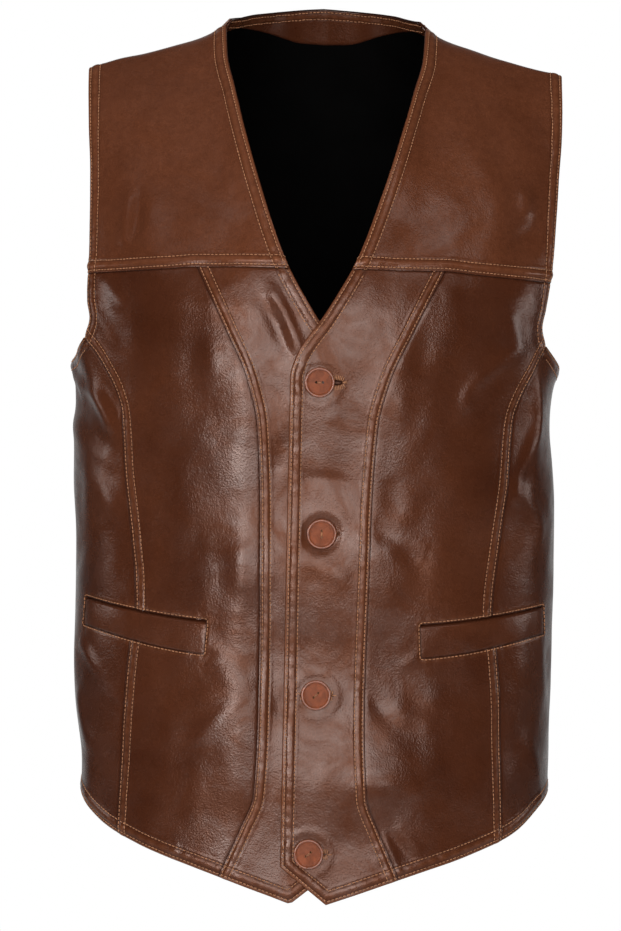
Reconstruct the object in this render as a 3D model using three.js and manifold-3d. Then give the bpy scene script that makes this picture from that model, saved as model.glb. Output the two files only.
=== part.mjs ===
// A man's leather vest with four buttons, filled out as if it were worn, with nobody in it.
// Each piece of leather is a thin wall on one shared form. Sizes are millimetres. +Z is up,
// +X is the wearer's left and -Y is the front. The origin lies midway between the two neck
// points, at shoulder height, where the wearer's shoulders carry the vest.
import * as THREE from "three";
import { mergeVertices } from "three/addons/utils/BufferGeometryUtils.js";
import Module from "manifold-3d";

const wasm = await Module();
wasm.setup();

const { clamp, lerp, smoothstep, degToRad, radToDeg } = THREE.MathUtils;

// Thicknesses and gaps of the walls.
const LEATHER_WALL = 2;
const BACK_WALL = 1.4;
const LINING_WALL = 1;
const SEAM_GAP = 0.3;
const LINING_GAP = 0.5;
const LINING_DEPTH = BACK_WALL + LINING_GAP;
// How far the lining and the facing stay inside the edges of the back.
const LINING_INSET = 1;
const FACING_INSET = 0.5;

// The filled-out form: half its width, and its depth in front of and behind the side line.
const FORM = [
  { z: -700, halfWidth: 189.5, frontDepth: 126, backDepth: 114 },
  { z: -604, halfWidth: 189.5, frontDepth: 125, backDepth: 112 },
  { z: -560, halfWidth: 189.5, frontDepth: 123.5, backDepth: 109 },
  { z: -500, halfWidth: 191, frontDepth: 121.8, backDepth: 105 },
  { z: -440, halfWidth: 190.5, frontDepth: 121.2, backDepth: 103 },
  { z: -380, halfWidth: 190, frontDepth: 124, backDepth: 105 },
  { z: -320, halfWidth: 189, frontDepth: 128.6, backDepth: 110.5 },
  { z: -290, halfWidth: 191, frontDepth: 130.5, backDepth: 114 },
  { z: -268, halfWidth: 194.5, frontDepth: 131.5, backDepth: 116.5 },
  { z: -235, halfWidth: 197, frontDepth: 132, backDepth: 119 },
  { z: -200, halfWidth: 201, frontDepth: 132, backDepth: 121 },
  { z: -140, halfWidth: 206, frontDepth: 132, backDepth: 122 },
  { z: -60, halfWidth: 207, frontDepth: 132, backDepth: 121 },
  { z: 30, halfWidth: 206, frontDepth: 132, backDepth: 120 },
];
// A level cut of the form is an oval with this exponent: 2 is an ellipse, more is squarer.
const ROUNDNESS = 2.4;
// Above these heights the front and the back lean in towards the top of the shoulders.
const FRONT_ROLL = { from: -230, power: 1.4 };
const BACK_ROLL = { from: -170, power: 1.5 };
// The height at which front and back would meet. It is the shoulder seam outside the neck.
const SHOULDER_TOP = [
  { x: 0, z: 95 },
  { x: 30, z: 80 },
  { x: 54, z: 47 },
  { x: 70, z: 18 },
  { x: 80.5, z: 2 },
  { x: 90, z: -4.7 },
  { x: 100, z: -9 },
  { x: 114, z: -13.7 },
  { x: 150, z: -23.7 },
  { x: 189, z: -35.5 },
  { x: 215, z: -44 },
];
const NECK_POINT_X = 80.5;

// Cut lines of one half, as distance from the centre at each height. The neck edge and the
// front edge pass the centre (x under 0), because the fronts lap over each other.
const FRONT_EDGE = [
  { z: -700, x: -22 },
  { z: -282, x: -22 },
  { z: -270, x: -19 },
  { z: -230, x: 6 },
  { z: -190, x: 28 },
  { z: -140, x: 46 },
  { z: -100, x: 58.5 },
  { z: -58, x: 70.5 },
  { z: -25, x: 78.5 },
  { z: 2, x: 80.5 },
];
const PRINCESS_SEAM = [
  { z: -665, x: 69 },
  { z: -629, x: 53 },
  { z: -604, x: 43.5 },
  { z: -540, x: 41 },
  { z: -400, x: 42.5 },
  { z: -320, x: 46.5 },
  { z: -284, x: 55 },
  { z: -245, x: 73 },
  { z: -199, x: 95 },
];
const SIDE_FRONT_SEAM = [
  { z: -634, x: 150 },
  { z: -580, x: 147.5 },
  { z: -525, x: 145.5 },
  { z: -490, x: 142.5 },
  { z: -461, x: 138.5 },
  { z: -410, x: 143 },
  { z: -360, x: 149 },
  { z: -312, x: 152 },
  { z: -294, x: 157.5 },
  { z: -270, x: 170 },
  { z: -253, x: 180.5 },
];
const FRONT_ARMHOLE = [
  { z: -253, x: 180.5 },
  { z: -238, x: 177.5 },
  { z: -225, x: 180 },
  { z: -200, x: 182 },
  { z: -140, x: 184 },
  { z: -100, x: 186 },
  { z: -57, x: 188 },
  { z: -35.5, x: 189 },
];
const BACK_ARMHOLE = [
  { z: -266.9, x: 193.3 },
  { z: -262, x: 190 },
  { z: -252, x: 184 },
  { z: -238, x: 180 },
  { z: -200, x: 181 },
  { z: -140, x: 182 },
  { z: -100, x: 184 },
  { z: -57, x: 187 },
  { z: -35.5, x: 189 },
];
const SIDE_SEAM_TURN = 97;

// Cut lines that run across, as height at each distance from the centre.
const HEM_POINT = { x: 13.8, z: -686.5 };
const FRONT_CORNER = { x: -22, z: -658 };
const FRONT_HEM = [
  { x: 13.8, z: -686.5 },
  { x: 69, z: -667 },
  { x: 148, z: -638.5 },
  { x: 163, z: -630.5 },
  { x: 184, z: -612 },
  { x: 189.5, z: -606.5 },
];
const HEM_WIDTH = 189.5;
const BACK_HEM = { side: -606.5, centre: -608, centreTurn: 150 };
const FRONT_YOKE_SEAM = [
  { x: 0, z: -198.5 },
  { x: 96, z: -198.5 },
  { x: 117, z: -200.2 },
  { x: 147, z: -201.8 },
  { x: 182, z: -203.2 },
];
const BACK_YOKE_LEVEL = -200;
const ARMHOLE_BOTTOM = [
  { x: 180.5, z: -253 },
  { x: 188, z: -262 },
  { x: 194.5, z: -268.6 },
];
const CHEST_LINE = [
  { turn: 0, z: -262 },
  { turn: 40, z: -258 },
  { turn: 66, z: -253 },
];
const BACK_CHEST = { z: -262, levelTurn: 130 };
const BACK_NECK_EDGE = [
  { x: 0, z: 23.5 },
  { x: 30, z: 20.5 },
  { x: 54, z: 16 },
  { x: 70, z: 10 },
  { x: 78, z: 6 },
  { x: 80.5, z: 2 },
];
// The lower edge of the back neck facing, and past its end the top edge of the lining.
const FACING_EDGE = [
  { x: 0, z: -4.2 },
  { x: 20, z: -3.6 },
  { x: 35, z: -0.5 },
  { x: 46, z: 2 },
  { x: 61, z: 3.5 },
  { x: 71, z: 2.8 },
  { x: 80.5, z: -1.5 },
  { x: 91, z: -7.2 },
  { x: 100, z: -10.2 },
  { x: 114, z: -15 },
  { x: 150, z: -25 },
  { x: 189, z: -36.8 },
];
const FACING_END_X = 91;

// The pocket windows slant up towards the sides. A welt fills each, set in a little.
const POCKET_BOTTOM = [
  { turn: 0, z: -501 },
  { turn: 22, z: -496.4 },
  { turn: 70, z: -478 },
  { turn: 97, z: -475 },
  { turn: 180, z: -475 },
];
const POCKET_TOP = [
  { turn: 0, z: -474 },
  { turn: 22, z: -470.2 },
  { turn: 70, z: -456 },
  { turn: 97, z: -453 },
  { turn: 180, z: -453 },
];
const POCKET = { innerX: 83, outerX: 180.5, middleZ: -474, weltDepth: 0.4, mouthGap: 1.5 };

// Where the fronts lap, the wearer's right front passes under the left one.
const LAP = { gap: 0.9, full: 28, none: 58, startZ: -200, fullZ: -245 };

// The largest folds and hollows. Each is a soft swell of the whole wall, with its height out of
// it. turn is over 0 on the wearer's left. lean is the tilt of its length from upright.
const FOLDS = [
  { turn: 88, z: -300, lean: 0, length: 38, width: 38, height: -5.5 },
  { turn: -88, z: -328, lean: 0, length: 62, width: 38, height: 4.5 },
  { turn: -88, z: -596, lean: 0, length: 38, width: 45, height: -7.5 },
  { turn: 66, z: -238, lean: 0, length: 36, width: 28, height: -4.5 },
  { turn: -66, z: -240, lean: 0, length: 40, width: 28, height: 4 },
  { turn: 63, z: -84, lean: 0, length: 60, width: 30, height: 3 },
  { turn: -63, z: -110, lean: 0, length: 45, width: 30, height: -1.8 },
  { turn: -60, z: -303, lean: -35, length: 38, width: 13, height: 3 },
  { turn: 62, z: -322, lean: 14, length: 48, width: 13, height: 3 },
  { turn: -72, z: -350, lean: -55, length: 42, width: 14, height: 2 },
  { turn: -44, z: -160, lean: 15, length: 30, width: 17, height: -2.5 },
  { turn: 48, z: -148, lean: -15, length: 28, width: 16, height: -2 },
  { turn: 17, z: -182, lean: 60, length: 26, width: 15, height: -1.5 },
  { turn: 125, z: -300, lean: 38, length: 62, width: 17, height: -3.5 },
  { turn: -128, z: -312, lean: -42, length: 56, width: 16, height: -3 },
  { turn: 158, z: -408, lean: 84, length: 70, width: 15, height: -3 },
  { turn: -152, z: -436, lean: -80, length: 76, width: 16, height: -3.5 },
  { turn: 172, z: -470, lean: 88, length: 60, width: 14, height: 2.5 },
  { turn: 112, z: -520, lean: 12, length: 70, width: 18, height: 2.5 },
  { turn: -116, z: -500, lean: -10, length: 66, width: 18, height: -2.5 },
];
const MM_PER_DEGREE = 2.8;

// Buttons, from the neck down. twist turns the line through their two holes.
const BUTTON = { radius: 11.55, thickness: 3.5, rimWidth: 2.9, recess: 1, edge: 0.8, sides: 24 };
const BUTTON_HOLE = { radius: 1, spacing: 5, sides: 8 };
const SHANK = { radius: 0.7, clearance: 0.3 };
const BUTTONS = [
  { x: 0.8, z: -285.8, twist: 0 },
  { x: 4.7, z: -401.9, twist: 90 },
  { x: 2.9, z: -525.8, twist: 45 },
  { x: -0.3, z: -647.5, twist: 40 },
];
const SLIT = { length: 25, width: 2, pastShank: 2, reach: 12 };

// Steps between the levels: 0 hem, 1 pocket bottom, 2 pocket top, 3 chest line, 4 yoke seam,
// and above it the shoulder in front, or the facing edge and then the shoulder behind. Rows
// crowd together where the edges curve most.
const SKIRT_ROWS = [0, 0.17, 0.34, 0.5, 0.67, 0.84];
const WAIST_ROWS = [1, 2, 2.16, 2.31, 2.45, 2.57, 2.68, 2.78, 2.87, 2.94, 3];
const CHEST_ROWS = [3.25, 3.5, 3.75, 4];
const BACK_CHEST_ROWS = [3.06, 3.15, 3.3, 3.5, 3.75, 4];
const YOKE_ROWS = [4, 4.2, 4.4, 4.58, 4.72, 4.84, 4.92, 4.97, 5];
const SHOULDER_BLADE_ROWS = [4.2, 4.4, 4.58, 4.74, 4.88, 5];
const FACING_ROWS = [5, 5.35, 5.7, 6];
const BODY_ROWS = [...SKIRT_ROWS, ...WAIST_ROWS];
const LINING_ROWS = [...BODY_ROWS, ...BACK_CHEST_ROWS, ...SHOULDER_BLADE_ROWS];

// A smooth curve through the rows of a table that never passes beyond them.
function curveThrough(table, from, to) {
  const rows = [...table].sort((a, b) => a[from] - b[from]);
  const last = rows.length - 1;
  const run = (i) => rows[i + 1][from] - rows[i][from];
  const rate = (i) => (rows[i + 1][to] - rows[i][to]) / run(i);
  const slopes = rows.map((row, i) => {
    if (i === 0) return rate(0);
    if (i === last) return rate(last - 1);
    const before = rate(i - 1);
    const after = rate(i);
    if (before * after <= 0) return 0;
    const early = 2 * run(i) + run(i - 1);
    const late = run(i) + 2 * run(i - 1);
    return (early + late) / (early / before + late / after);
  });
  return (value) => {
    const at = clamp(value, rows[0][from], rows[last][from]);
    let i = 0;
    while (i < last - 1 && at > rows[i + 1][from]) i += 1;
    const step = run(i);
    const t = (at - rows[i][from]) / step;
    const start = rows[i][to] * (1 + 2 * t) + step * slopes[i] * t;
    const end = rows[i + 1][to] * (3 - 2 * t) - step * slopes[i + 1] * (1 - t);
    return start * (1 - t) ** 2 + end * t ** 2;
  };
}

const halfWidth = curveThrough(FORM, "z", "halfWidth");
const frontDepth = curveThrough(FORM, "z", "frontDepth");
const backDepth = curveThrough(FORM, "z", "backDepth");
const shoulderTop = curveThrough(SHOULDER_TOP, "x", "z");
const frontEdge = curveThrough(FRONT_EDGE, "z", "x");
const princessSeam = curveThrough(PRINCESS_SEAM, "z", "x");
const sideFrontSeam = curveThrough(SIDE_FRONT_SEAM, "z", "x");
const frontArmhole = curveThrough(FRONT_ARMHOLE, "z", "x");
const backArmhole = curveThrough(BACK_ARMHOLE, "z", "x");
const frontHem = curveThrough(FRONT_HEM, "x", "z");
const frontYokeSeam = curveThrough(FRONT_YOKE_SEAM, "x", "z");
const armholeBottom = curveThrough(ARMHOLE_BOTTOM, "x", "z");
const chestLine = curveThrough(CHEST_LINE, "turn", "z");
const backNeckEdge = curveThrough(BACK_NECK_EDGE, "x", "z");
const facingEdge = curveThrough(FACING_EDGE, "x", "z");
const pocketBottom = curveThrough(POCKET_BOTTOM, "turn", "z");
const pocketTop = curveThrough(POCKET_TOP, "turn", "z");

// Turn says where a point lies round the form, in degrees: 0 at the centre front, 90 at the
// side, 180 at the centre back.
function formX(turn, width) {
  const sine = Math.sin(degToRad(turn));
  return width * Math.sign(sine) * Math.abs(sine) ** (2 / ROUNDNESS);
}

function turnAt(x, z) {
  const share = Math.min(1, Math.abs(x) / halfWidth(z));
  return Math.sign(x) * radToDeg(Math.asin(share ** (ROUNDNESS / 2)));
}

// How much of its depth the form keeps as it rolls in towards the shoulder: 1 below, 0 on top.
function rollIn(x, z, roll) {
  const rise = (z - roll.from) / (shoulderTop(Math.abs(x)) - roll.from);
  return (1 - clamp(rise, 0, 1) ** roll.power) ** (1 / roll.power);
}

function formPoint(turn, z) {
  const cosine = Math.cos(degToRad(turn));
  const x = formX(turn, halfWidth(z));
  const reach = Math.abs(cosine) ** (2 / ROUNDNESS);
  if (cosine > 0) return new THREE.Vector3(x, -frontDepth(z) * reach * rollIn(x, z, FRONT_ROLL), z);
  return new THREE.Vector3(x, backDepth(z) * reach * rollIn(x, z, BACK_ROLL), z);
}

// The way out of the form. On the shoulder seam it is square to the seam, on both sides alike.
function formNormal(turn, z) {
  const step = 0.02;
  const x = formX(turn, halfWidth(z));
  const distance = Math.abs(x);
  if (z > shoulderTop(distance) - step) {
    const slope = (shoulderTop(distance + 1) - shoulderTop(distance - 1)) / 2;
    return new THREE.Vector3(-slope * Math.sign(x), 0, 1).normalize();
  }
  const across = formPoint(turn + step, z).sub(formPoint(turn - step, z));
  const up = formPoint(turn, z).sub(formPoint(turn, z - step));
  return across.cross(up).normalize();
}

function foldHeight(turn, z) {
  let height = 0;
  for (const fold of FOLDS) {
    const lean = degToRad(fold.lean);
    const over = (THREE.MathUtils.euclideanModulo(turn - fold.turn + 180, 360) - 180) * MM_PER_DEGREE;
    const above = z - fold.z;
    const along = (over * Math.sin(lean) + above * Math.cos(lean)) / fold.length;
    const across = (over * Math.cos(lean) - above * Math.sin(lean)) / fold.width;
    height += fold.height * Math.exp(-along * along - across * across);
  }
  return height;
}

// How far the wearer's right front sinks to pass under the left one.
function lapSink(side, turn, x, z) {
  if (side > 0 || Math.abs(turn) > 90) return 0;
  const near = smoothstep(LAP.none - x, 0, LAP.none - LAP.full);
  const low = smoothstep(LAP.startZ - z, 0, LAP.startZ - LAP.fullZ);
  return (LEATHER_WALL + LAP.gap) * near * low;
}

// A point of the vest, depth millimetres in from its outer face. side is 1 on the wearer's
// left and -1 on the right.
function shellPoint(side, turn, z, depth) {
  const point = formPoint(turn, z);
  const around = side * (turn > 180 ? turn - 360 : turn);
  const out = foldHeight(around, z) - lapSink(side, turn, point.x, z) - depth;
  point.addScaledVector(formNormal(turn, z), out);
  point.x *= side;
  return point;
}

// The six level lines, as heights at each turn.
function hemLevel(turn) {
  if (turn > 90) return lerp(BACK_HEM.side, BACK_HEM.centre, smoothstep(turn, 90, BACK_HEM.centreTurn));
  const x = formX(turn, HEM_WIDTH);
  if (x > HEM_POINT.x) return frontHem(x);
  const share = (HEM_POINT.x - x) / (HEM_POINT.x - FRONT_CORNER.x);
  return lerp(HEM_POINT.z, FRONT_CORNER.z, share);
}

function chestLevel(turn) {
  const sideFrontTurn = turnAt(ARMHOLE_BOTTOM[0].x, ARMHOLE_BOTTOM[0].z);
  if (turn < sideFrontTurn) return chestLine(Math.max(turn, 0));
  const bottom = armholeBottom(formX(turn, ARMHOLE_BOTTOM[2].x));
  if (turn < SIDE_SEAM_TURN) return bottom;
  const atSeam = armholeBottom(formX(SIDE_SEAM_TURN, ARMHOLE_BOTTOM[2].x));
  return lerp(atSeam, BACK_CHEST.z, smoothstep(turn, SIDE_SEAM_TURN, BACK_CHEST.levelTurn));
}

function yokeLevel(turn) {
  return turn < 90 ? frontYokeSeam(Math.max(formX(turn, halfWidth(BACK_YOKE_LEVEL)), 0)) : BACK_YOKE_LEVEL;
}

function topLevel(turn) {
  const x = Math.abs(formX(turn, halfWidth(0)));
  if (x > NECK_POINT_X) return shoulderTop(x);
  return turn < 90 ? shoulderTop(NECK_POINT_X) : backNeckEdge(x);
}

const facingLevel = (turn) => facingEdge(Math.abs(formX(turn, halfWidth(0))));
const LEVELS = [hemLevel, pocketBottom, pocketTop, chestLevel, yokeLevel, topLevel];
const BACK_LEVELS = [...LEVELS.slice(0, 5), facingLevel, topLevel];

function heightAt(levels, turn, level) {
  const band = Math.min(Math.floor(level), levels.length - 2);
  const around = turn > 180 ? 360 - turn : turn;
  return lerp(levels[band](around), levels[band + 1](around), level - band);
}

// The turn at which a level meets a cut line that gives x at each height. It starts from a
// turn near by and comes half as close again in each round.
const SEARCH = { rounds: 60, frontTurn: 30, backTurn: 120 };

function turnOnLine(level, line, behind = false) {
  let turn = behind ? SEARCH.backTurn : SEARCH.frontTurn;
  for (let round = 0; round < SEARCH.rounds; round += 1) {
    const z = heightAt(behind ? BACK_LEVELS : LEVELS, turn, level);
    const found = turnAt(line(z), z);
    turn = (turn + (behind ? 180 - found : found)) / 2;
  }
  return turn;
}

const frontEdgeTurn = (level) => turnOnLine(level, frontEdge);
const princessTurn = (level) => turnOnLine(level, princessSeam);
const frontArmholeTurn = (level) => turnOnLine(level, frontArmhole);
const sideFrontTurn = (level) => turnOnLine(level, sideFrontSeam);
const midFrontOuterTurn = (level) => (level > 3 ? frontArmholeTurn(level) : sideFrontTurn(level));
const sideSeamTurn = () => SIDE_SEAM_TURN;
const backEdgeTurn = (level) => (level > 3 ? turnOnLine(level, backArmhole, true) : SIDE_SEAM_TURN);
const otherBackEdgeTurn = (level) => 360 - backEdgeTurn(level);

// Splits the way from one share to another into equal steps, without the first share.
function steps(from, to, count) {
  return Array.from({ length: count }, (unused, i) => lerp(from, to, (i + 1) / count));
}

// Moves the points of one edge of a grid inwards, along the surface and square to the edge.
function insetEdge(grid, edge, distance) {
  const lastRow = grid.length - 1;
  const lastColumn = grid[0].length - 1;
  const upright = edge === "start" || edge === "end";
  const count = upright ? lastRow : lastColumn;
  const onEdge = {
    start: (i) => [grid[i][0], grid[i][1]],
    end: (i) => [grid[i][lastColumn], grid[i][lastColumn - 1]],
    bottom: (i) => [grid[0][i], grid[1][i]],
    top: (i) => [grid[lastRow][i], grid[lastRow - 1][i]],
  }[edge];
  const moves = [];
  for (let i = 0; i <= count; i += 1) {
    const [point, neighbour] = onEdge(i);
    const before = onEdge(Math.max(i - 1, 0))[0];
    const after = onEdge(Math.min(i + 1, count))[0];
    const along = after.clone().sub(before).normalize();
    const inwards = neighbour.clone().sub(point);
    inwards.addScaledVector(along, -inwards.dot(along)).normalize();
    moves.push([point, inwards.multiplyScalar(distance)]);
  }
  for (const [point, move] of moves) point.add(move);
}

// A wall as a closed mesh. Its outer and inner faces are grids with a row for each level and a
// column for each share of the way between its two sides. open says which cells are left out.
function wallGeometry(panel) {
  const { side, rows, shares, from, to, levels = LEVELS, thickness, depth = 0 } = panel;
  const { insets = {}, seamShift = 0, open = () => false } = panel;
  const layer = (layerDepth) => {
    const grid = rows.map((level) => {
      const first = from(level);
      const last = to(level);
      return shares.map((share) => {
        const turn = lerp(first, last, share);
        return shellPoint(side, turn, heightAt(levels, turn, level), layerDepth);
      });
    });
    for (const [edge, distance] of Object.entries(insets)) insetEdge(grid, edge, distance);
    for (const point of grid[rows.length - 1]) point.y += seamShift;
    return grid;
  };
  const faces = [layer(depth), layer(depth + thickness)];
  const columns = shares.length;
  const positions = faces.flat(2).flatMap((point) => point.toArray());
  const index = (face, row, column) => (face * rows.length + row) * columns + column;
  const triangles = [];
  const quad = (a, b, c, d) => {
    triangles.push(...(side > 0 ? [a, b, c, a, c, d] : [a, c, b, a, d, c]));
  };
  const filled = (row, column) => {
    const inside = row >= 0 && column >= 0 && row < rows.length - 1 && column < columns - 1;
    return inside && !open(row, column);
  };
  for (let row = 0; row < rows.length - 1; row += 1) {
    for (let column = 0; column < columns - 1; column += 1) {
      if (!filled(row, column)) continue;
      const corners = (face) => [
        index(face, row, column),
        index(face, row, column + 1),
        index(face, row + 1, column + 1),
        index(face, row + 1, column),
      ];
      const outer = corners(0);
      const inner = corners(1);
      quad(...outer);
      quad(inner[0], inner[3], inner[2], inner[1]);
      const neighbours = [
        [row - 1, column],
        [row, column + 1],
        [row + 1, column],
        [row, column - 1],
      ];
      neighbours.forEach((neighbour, i) => {
        const next = (i + 1) % 4;
        if (!filled(...neighbour)) quad(inner[i], inner[next], outer[next], outer[i]);
      });
    }
  }
  const geometry = new THREE.BufferGeometry();
  geometry.setAttribute("position", new THREE.Float32BufferAttribute(positions, 3));
  geometry.setIndex(triangles);
  const used = geometry.toNonIndexed();
  return mergeVertices(used, 1e-4);
}

// Cuts tools out of a closed geometry.
function cut(geometry, tools) {
  const solid = (source) => {
    const bare = source.clone();
    bare.deleteAttribute("normal");
    bare.deleteAttribute("uv");
    const merged = mergeVertices(bare, 1e-4);
    const vertProperties = merged.attributes.position.array;
    return new wasm.Manifold(
      new wasm.Mesh({ numProp: 3, vertProperties, triVerts: new Uint32Array(merged.index.array) }),
    );
  };
  const result = tools.reduce((rest, tool) => rest.subtract(solid(tool)), solid(geometry)).getMesh();
  const made = new THREE.BufferGeometry();
  made.setAttribute("position", new THREE.BufferAttribute(result.vertProperties, 3));
  made.setIndex(new THREE.BufferAttribute(result.triVerts, 1));
  return made;
}

// Materials, with their colours as they look in soft light.
const leather = (color) => new THREE.MeshStandardMaterial({ color, roughness: 0.35, metalness: 0 });
const LEATHER = leather(0x54291b);
const YOKE_LEATHER = leather(0x5f3726);
const LINING = new THREE.MeshStandardMaterial({ color: 0x15120f, roughness: 0.7, metalness: 0 });
const BUTTON_FINISH = new THREE.MeshStandardMaterial({ color: 0x965a41, roughness: 0.25, metalness: 0 });

const vest = new THREE.Group();

function addPiece(name, geometry, material) {
  geometry.computeVertexNormals();
  const piece = new THREE.Mesh(geometry, material);
  piece.name = name;
  vest.add(piece);
}

const HALF_GAP = SEAM_GAP / 2;
const SIDES = [
  { side: -1, name: "right" },
  { side: 1, name: "left" },
];

// Where the pocket windows lie between the seams, as shares of each panel's width.
const POCKET_LEVEL = 1.5;
const POCKET_TURNS = {
  princess: princessTurn(POCKET_LEVEL),
  sideFront: sideFrontTurn(POCKET_LEVEL),
  inner: turnAt(POCKET.innerX, POCKET.middleZ),
  outer: turnAt(POCKET.outerX, POCKET.middleZ),
};
const midFrontShare = THREE.MathUtils.mapLinear(
  POCKET_TURNS.inner, POCKET_TURNS.princess, POCKET_TURNS.sideFront, 0, 1,
);
const sidePanelShare = THREE.MathUtils.mapLinear(
  POCKET_TURNS.outer, POCKET_TURNS.sideFront, SIDE_SEAM_TURN, 0, 1,
);
const POCKET_ROW = BODY_ROWS.indexOf(1);

// The centre fronts run down to the hem point, where a column of the grid ends.
function addCentreFront({ side, name }) {
  const first = frontEdgeTurn(0);
  const last = princessTurn(0);
  const pointShare = (turnAt(HEM_POINT.x, HEM_POINT.z) - first) / (last - first);
  const geometry = wallGeometry({
    side,
    rows: [...BODY_ROWS, ...CHEST_ROWS],
    shares: [0, ...steps(0, pointShare, 2), ...steps(pointShare, 1, 4)],
    from: frontEdgeTurn,
    to: princessTurn,
    thickness: LEATHER_WALL,
    insets: { end: HALF_GAP, top: HALF_GAP },
  });
  const slits = side > 0 ? BUTTONS.map(buttonholeCutter) : [];
  addPiece("centre_front_" + name, cut(geometry, slits), LEATHER);
}

function addMidFront({ side, name }) {
  const shares = [0, ...steps(0, midFrontShare, 3), ...steps(midFrontShare, 1, 5)];
  const windowStart = 3;
  const geometry = wallGeometry({
    side,
    rows: [...BODY_ROWS, ...CHEST_ROWS],
    shares,
    from: princessTurn,
    to: midFrontOuterTurn,
    thickness: LEATHER_WALL,
    insets: { start: HALF_GAP, end: HALF_GAP, top: HALF_GAP },
    open: (row, column) => row === POCKET_ROW && column >= windowStart,
  });
  addPiece("mid_front_" + name, geometry, LEATHER);
}

function addSidePanel({ side, name }) {
  const windowColumns = 5;
  const geometry = wallGeometry({
    side,
    rows: BODY_ROWS,
    shares: [0, ...steps(0, sidePanelShare, windowColumns), ...steps(sidePanelShare, 1, 5)],
    from: sideFrontTurn,
    to: sideSeamTurn,
    thickness: LEATHER_WALL,
    insets: { start: HALF_GAP, end: HALF_GAP },
    open: (row, column) => row === POCKET_ROW && column < windowColumns,
  });
  addPiece("side_panel_" + name, geometry, LEATHER);
}

function addYoke({ side, name }) {
  const geometry = wallGeometry({
    side,
    rows: YOKE_ROWS,
    shares: [0, ...steps(0, 1, 10)],
    from: frontEdgeTurn,
    to: frontArmholeTurn,
    thickness: LEATHER_WALL,
    insets: { bottom: HALF_GAP },
    seamShift: -HALF_GAP,
  });
  addPiece("yoke_" + name, geometry, YOKE_LEATHER);
}

function addWelt({ side, name }) {
  const geometry = wallGeometry({
    side,
    rows: [1, 1.5, 2],
    shares: [0, ...steps(0, 1, 10)],
    from: (level) => lerp(princessTurn(level), sideFrontTurn(level), midFrontShare),
    to: (level) => lerp(sideFrontTurn(level), SIDE_SEAM_TURN, sidePanelShare),
    thickness: LEATHER_WALL,
    depth: POCKET.weltDepth,
    insets: { start: SEAM_GAP, end: SEAM_GAP, bottom: SEAM_GAP, top: POCKET.mouthGap },
  });
  addPiece("welt_" + name, geometry, LEATHER);
}

// The back, its lining and its neck facing share one grid, so that they lie flat on each
// other. Columns of it end where the facing ends and at the neck points.
const backEdge = backEdgeTurn(6);
const backShare = (x) => (180 - turnAt(x, 0) - backEdge) / (360 - 2 * backEdge);
const FACING_COLUMN = 7;
const LEFT_HALF = [
  0,
  ...steps(0, backShare(FACING_END_X), FACING_COLUMN),
  backShare(NECK_POINT_X),
  ...steps(backShare(NECK_POINT_X), 0.5, 6),
];
const BACK_SHARES = [...LEFT_HALF, ...LEFT_HALF.slice(0, -1).reverse().map((share) => 1 - share)];
const BACK_GRID = {
  side: 1,
  shares: BACK_SHARES,
  from: backEdgeTurn,
  to: otherBackEdgeTurn,
  levels: BACK_LEVELS,
};

function addBackPanel() {
  const geometry = wallGeometry({
    ...BACK_GRID,
    rows: [...LINING_ROWS, ...FACING_ROWS.slice(1)],
    thickness: BACK_WALL,
    insets: { start: HALF_GAP, end: HALF_GAP },
    seamShift: HALF_GAP,
  });
  addPiece("back_panel", geometry, LEATHER);
}

// The black lining of the back, inside the back panel and below the neck facing.
function addBackLining() {
  const geometry = wallGeometry({
    ...BACK_GRID,
    rows: LINING_ROWS,
    thickness: LINING_WALL,
    depth: LINING_DEPTH,
    insets: { start: LINING_INSET, end: LINING_INSET, bottom: LINING_INSET, top: HALF_GAP },
  });
  addPiece("back_lining", geometry, LINING);
}

function addBackNeckFacing() {
  const lastColumn = BACK_SHARES.length - 2 - FACING_COLUMN;
  const geometry = wallGeometry({
    ...BACK_GRID,
    rows: FACING_ROWS,
    thickness: LINING_WALL,
    depth: LINING_DEPTH,
    insets: { bottom: HALF_GAP, top: FACING_INSET },
    open: (row, column) => column < FACING_COLUMN || column > lastColumn,
  });
  addPiece("back_neck_facing", geometry, YOKE_LEATHER);
}

// The place and the facing of a button on the outer face of the left front.
function buttonPlace(button) {
  const turn = turnAt(button.x, button.z);
  const outwards = formNormal(turn, button.z);
  const across = new THREE.Vector3(1, 0, 0);
  across.addScaledVector(outwards, -across.dot(outwards)).normalize();
  const matrix = new THREE.Matrix4().makeBasis(across, outwards, across.clone().cross(outwards));
  return matrix.setPosition(shellPoint(1, turn, button.z, 0));
}

function buttonholeCutter(button) {
  const slit = new THREE.BoxGeometry(SLIT.length, SLIT.reach, SLIT.width);
  slit.translate(SLIT.length / 2 - SLIT.pastShank, 0, 0);
  return slit.applyMatrix4(buttonPlace(button));
}

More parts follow.
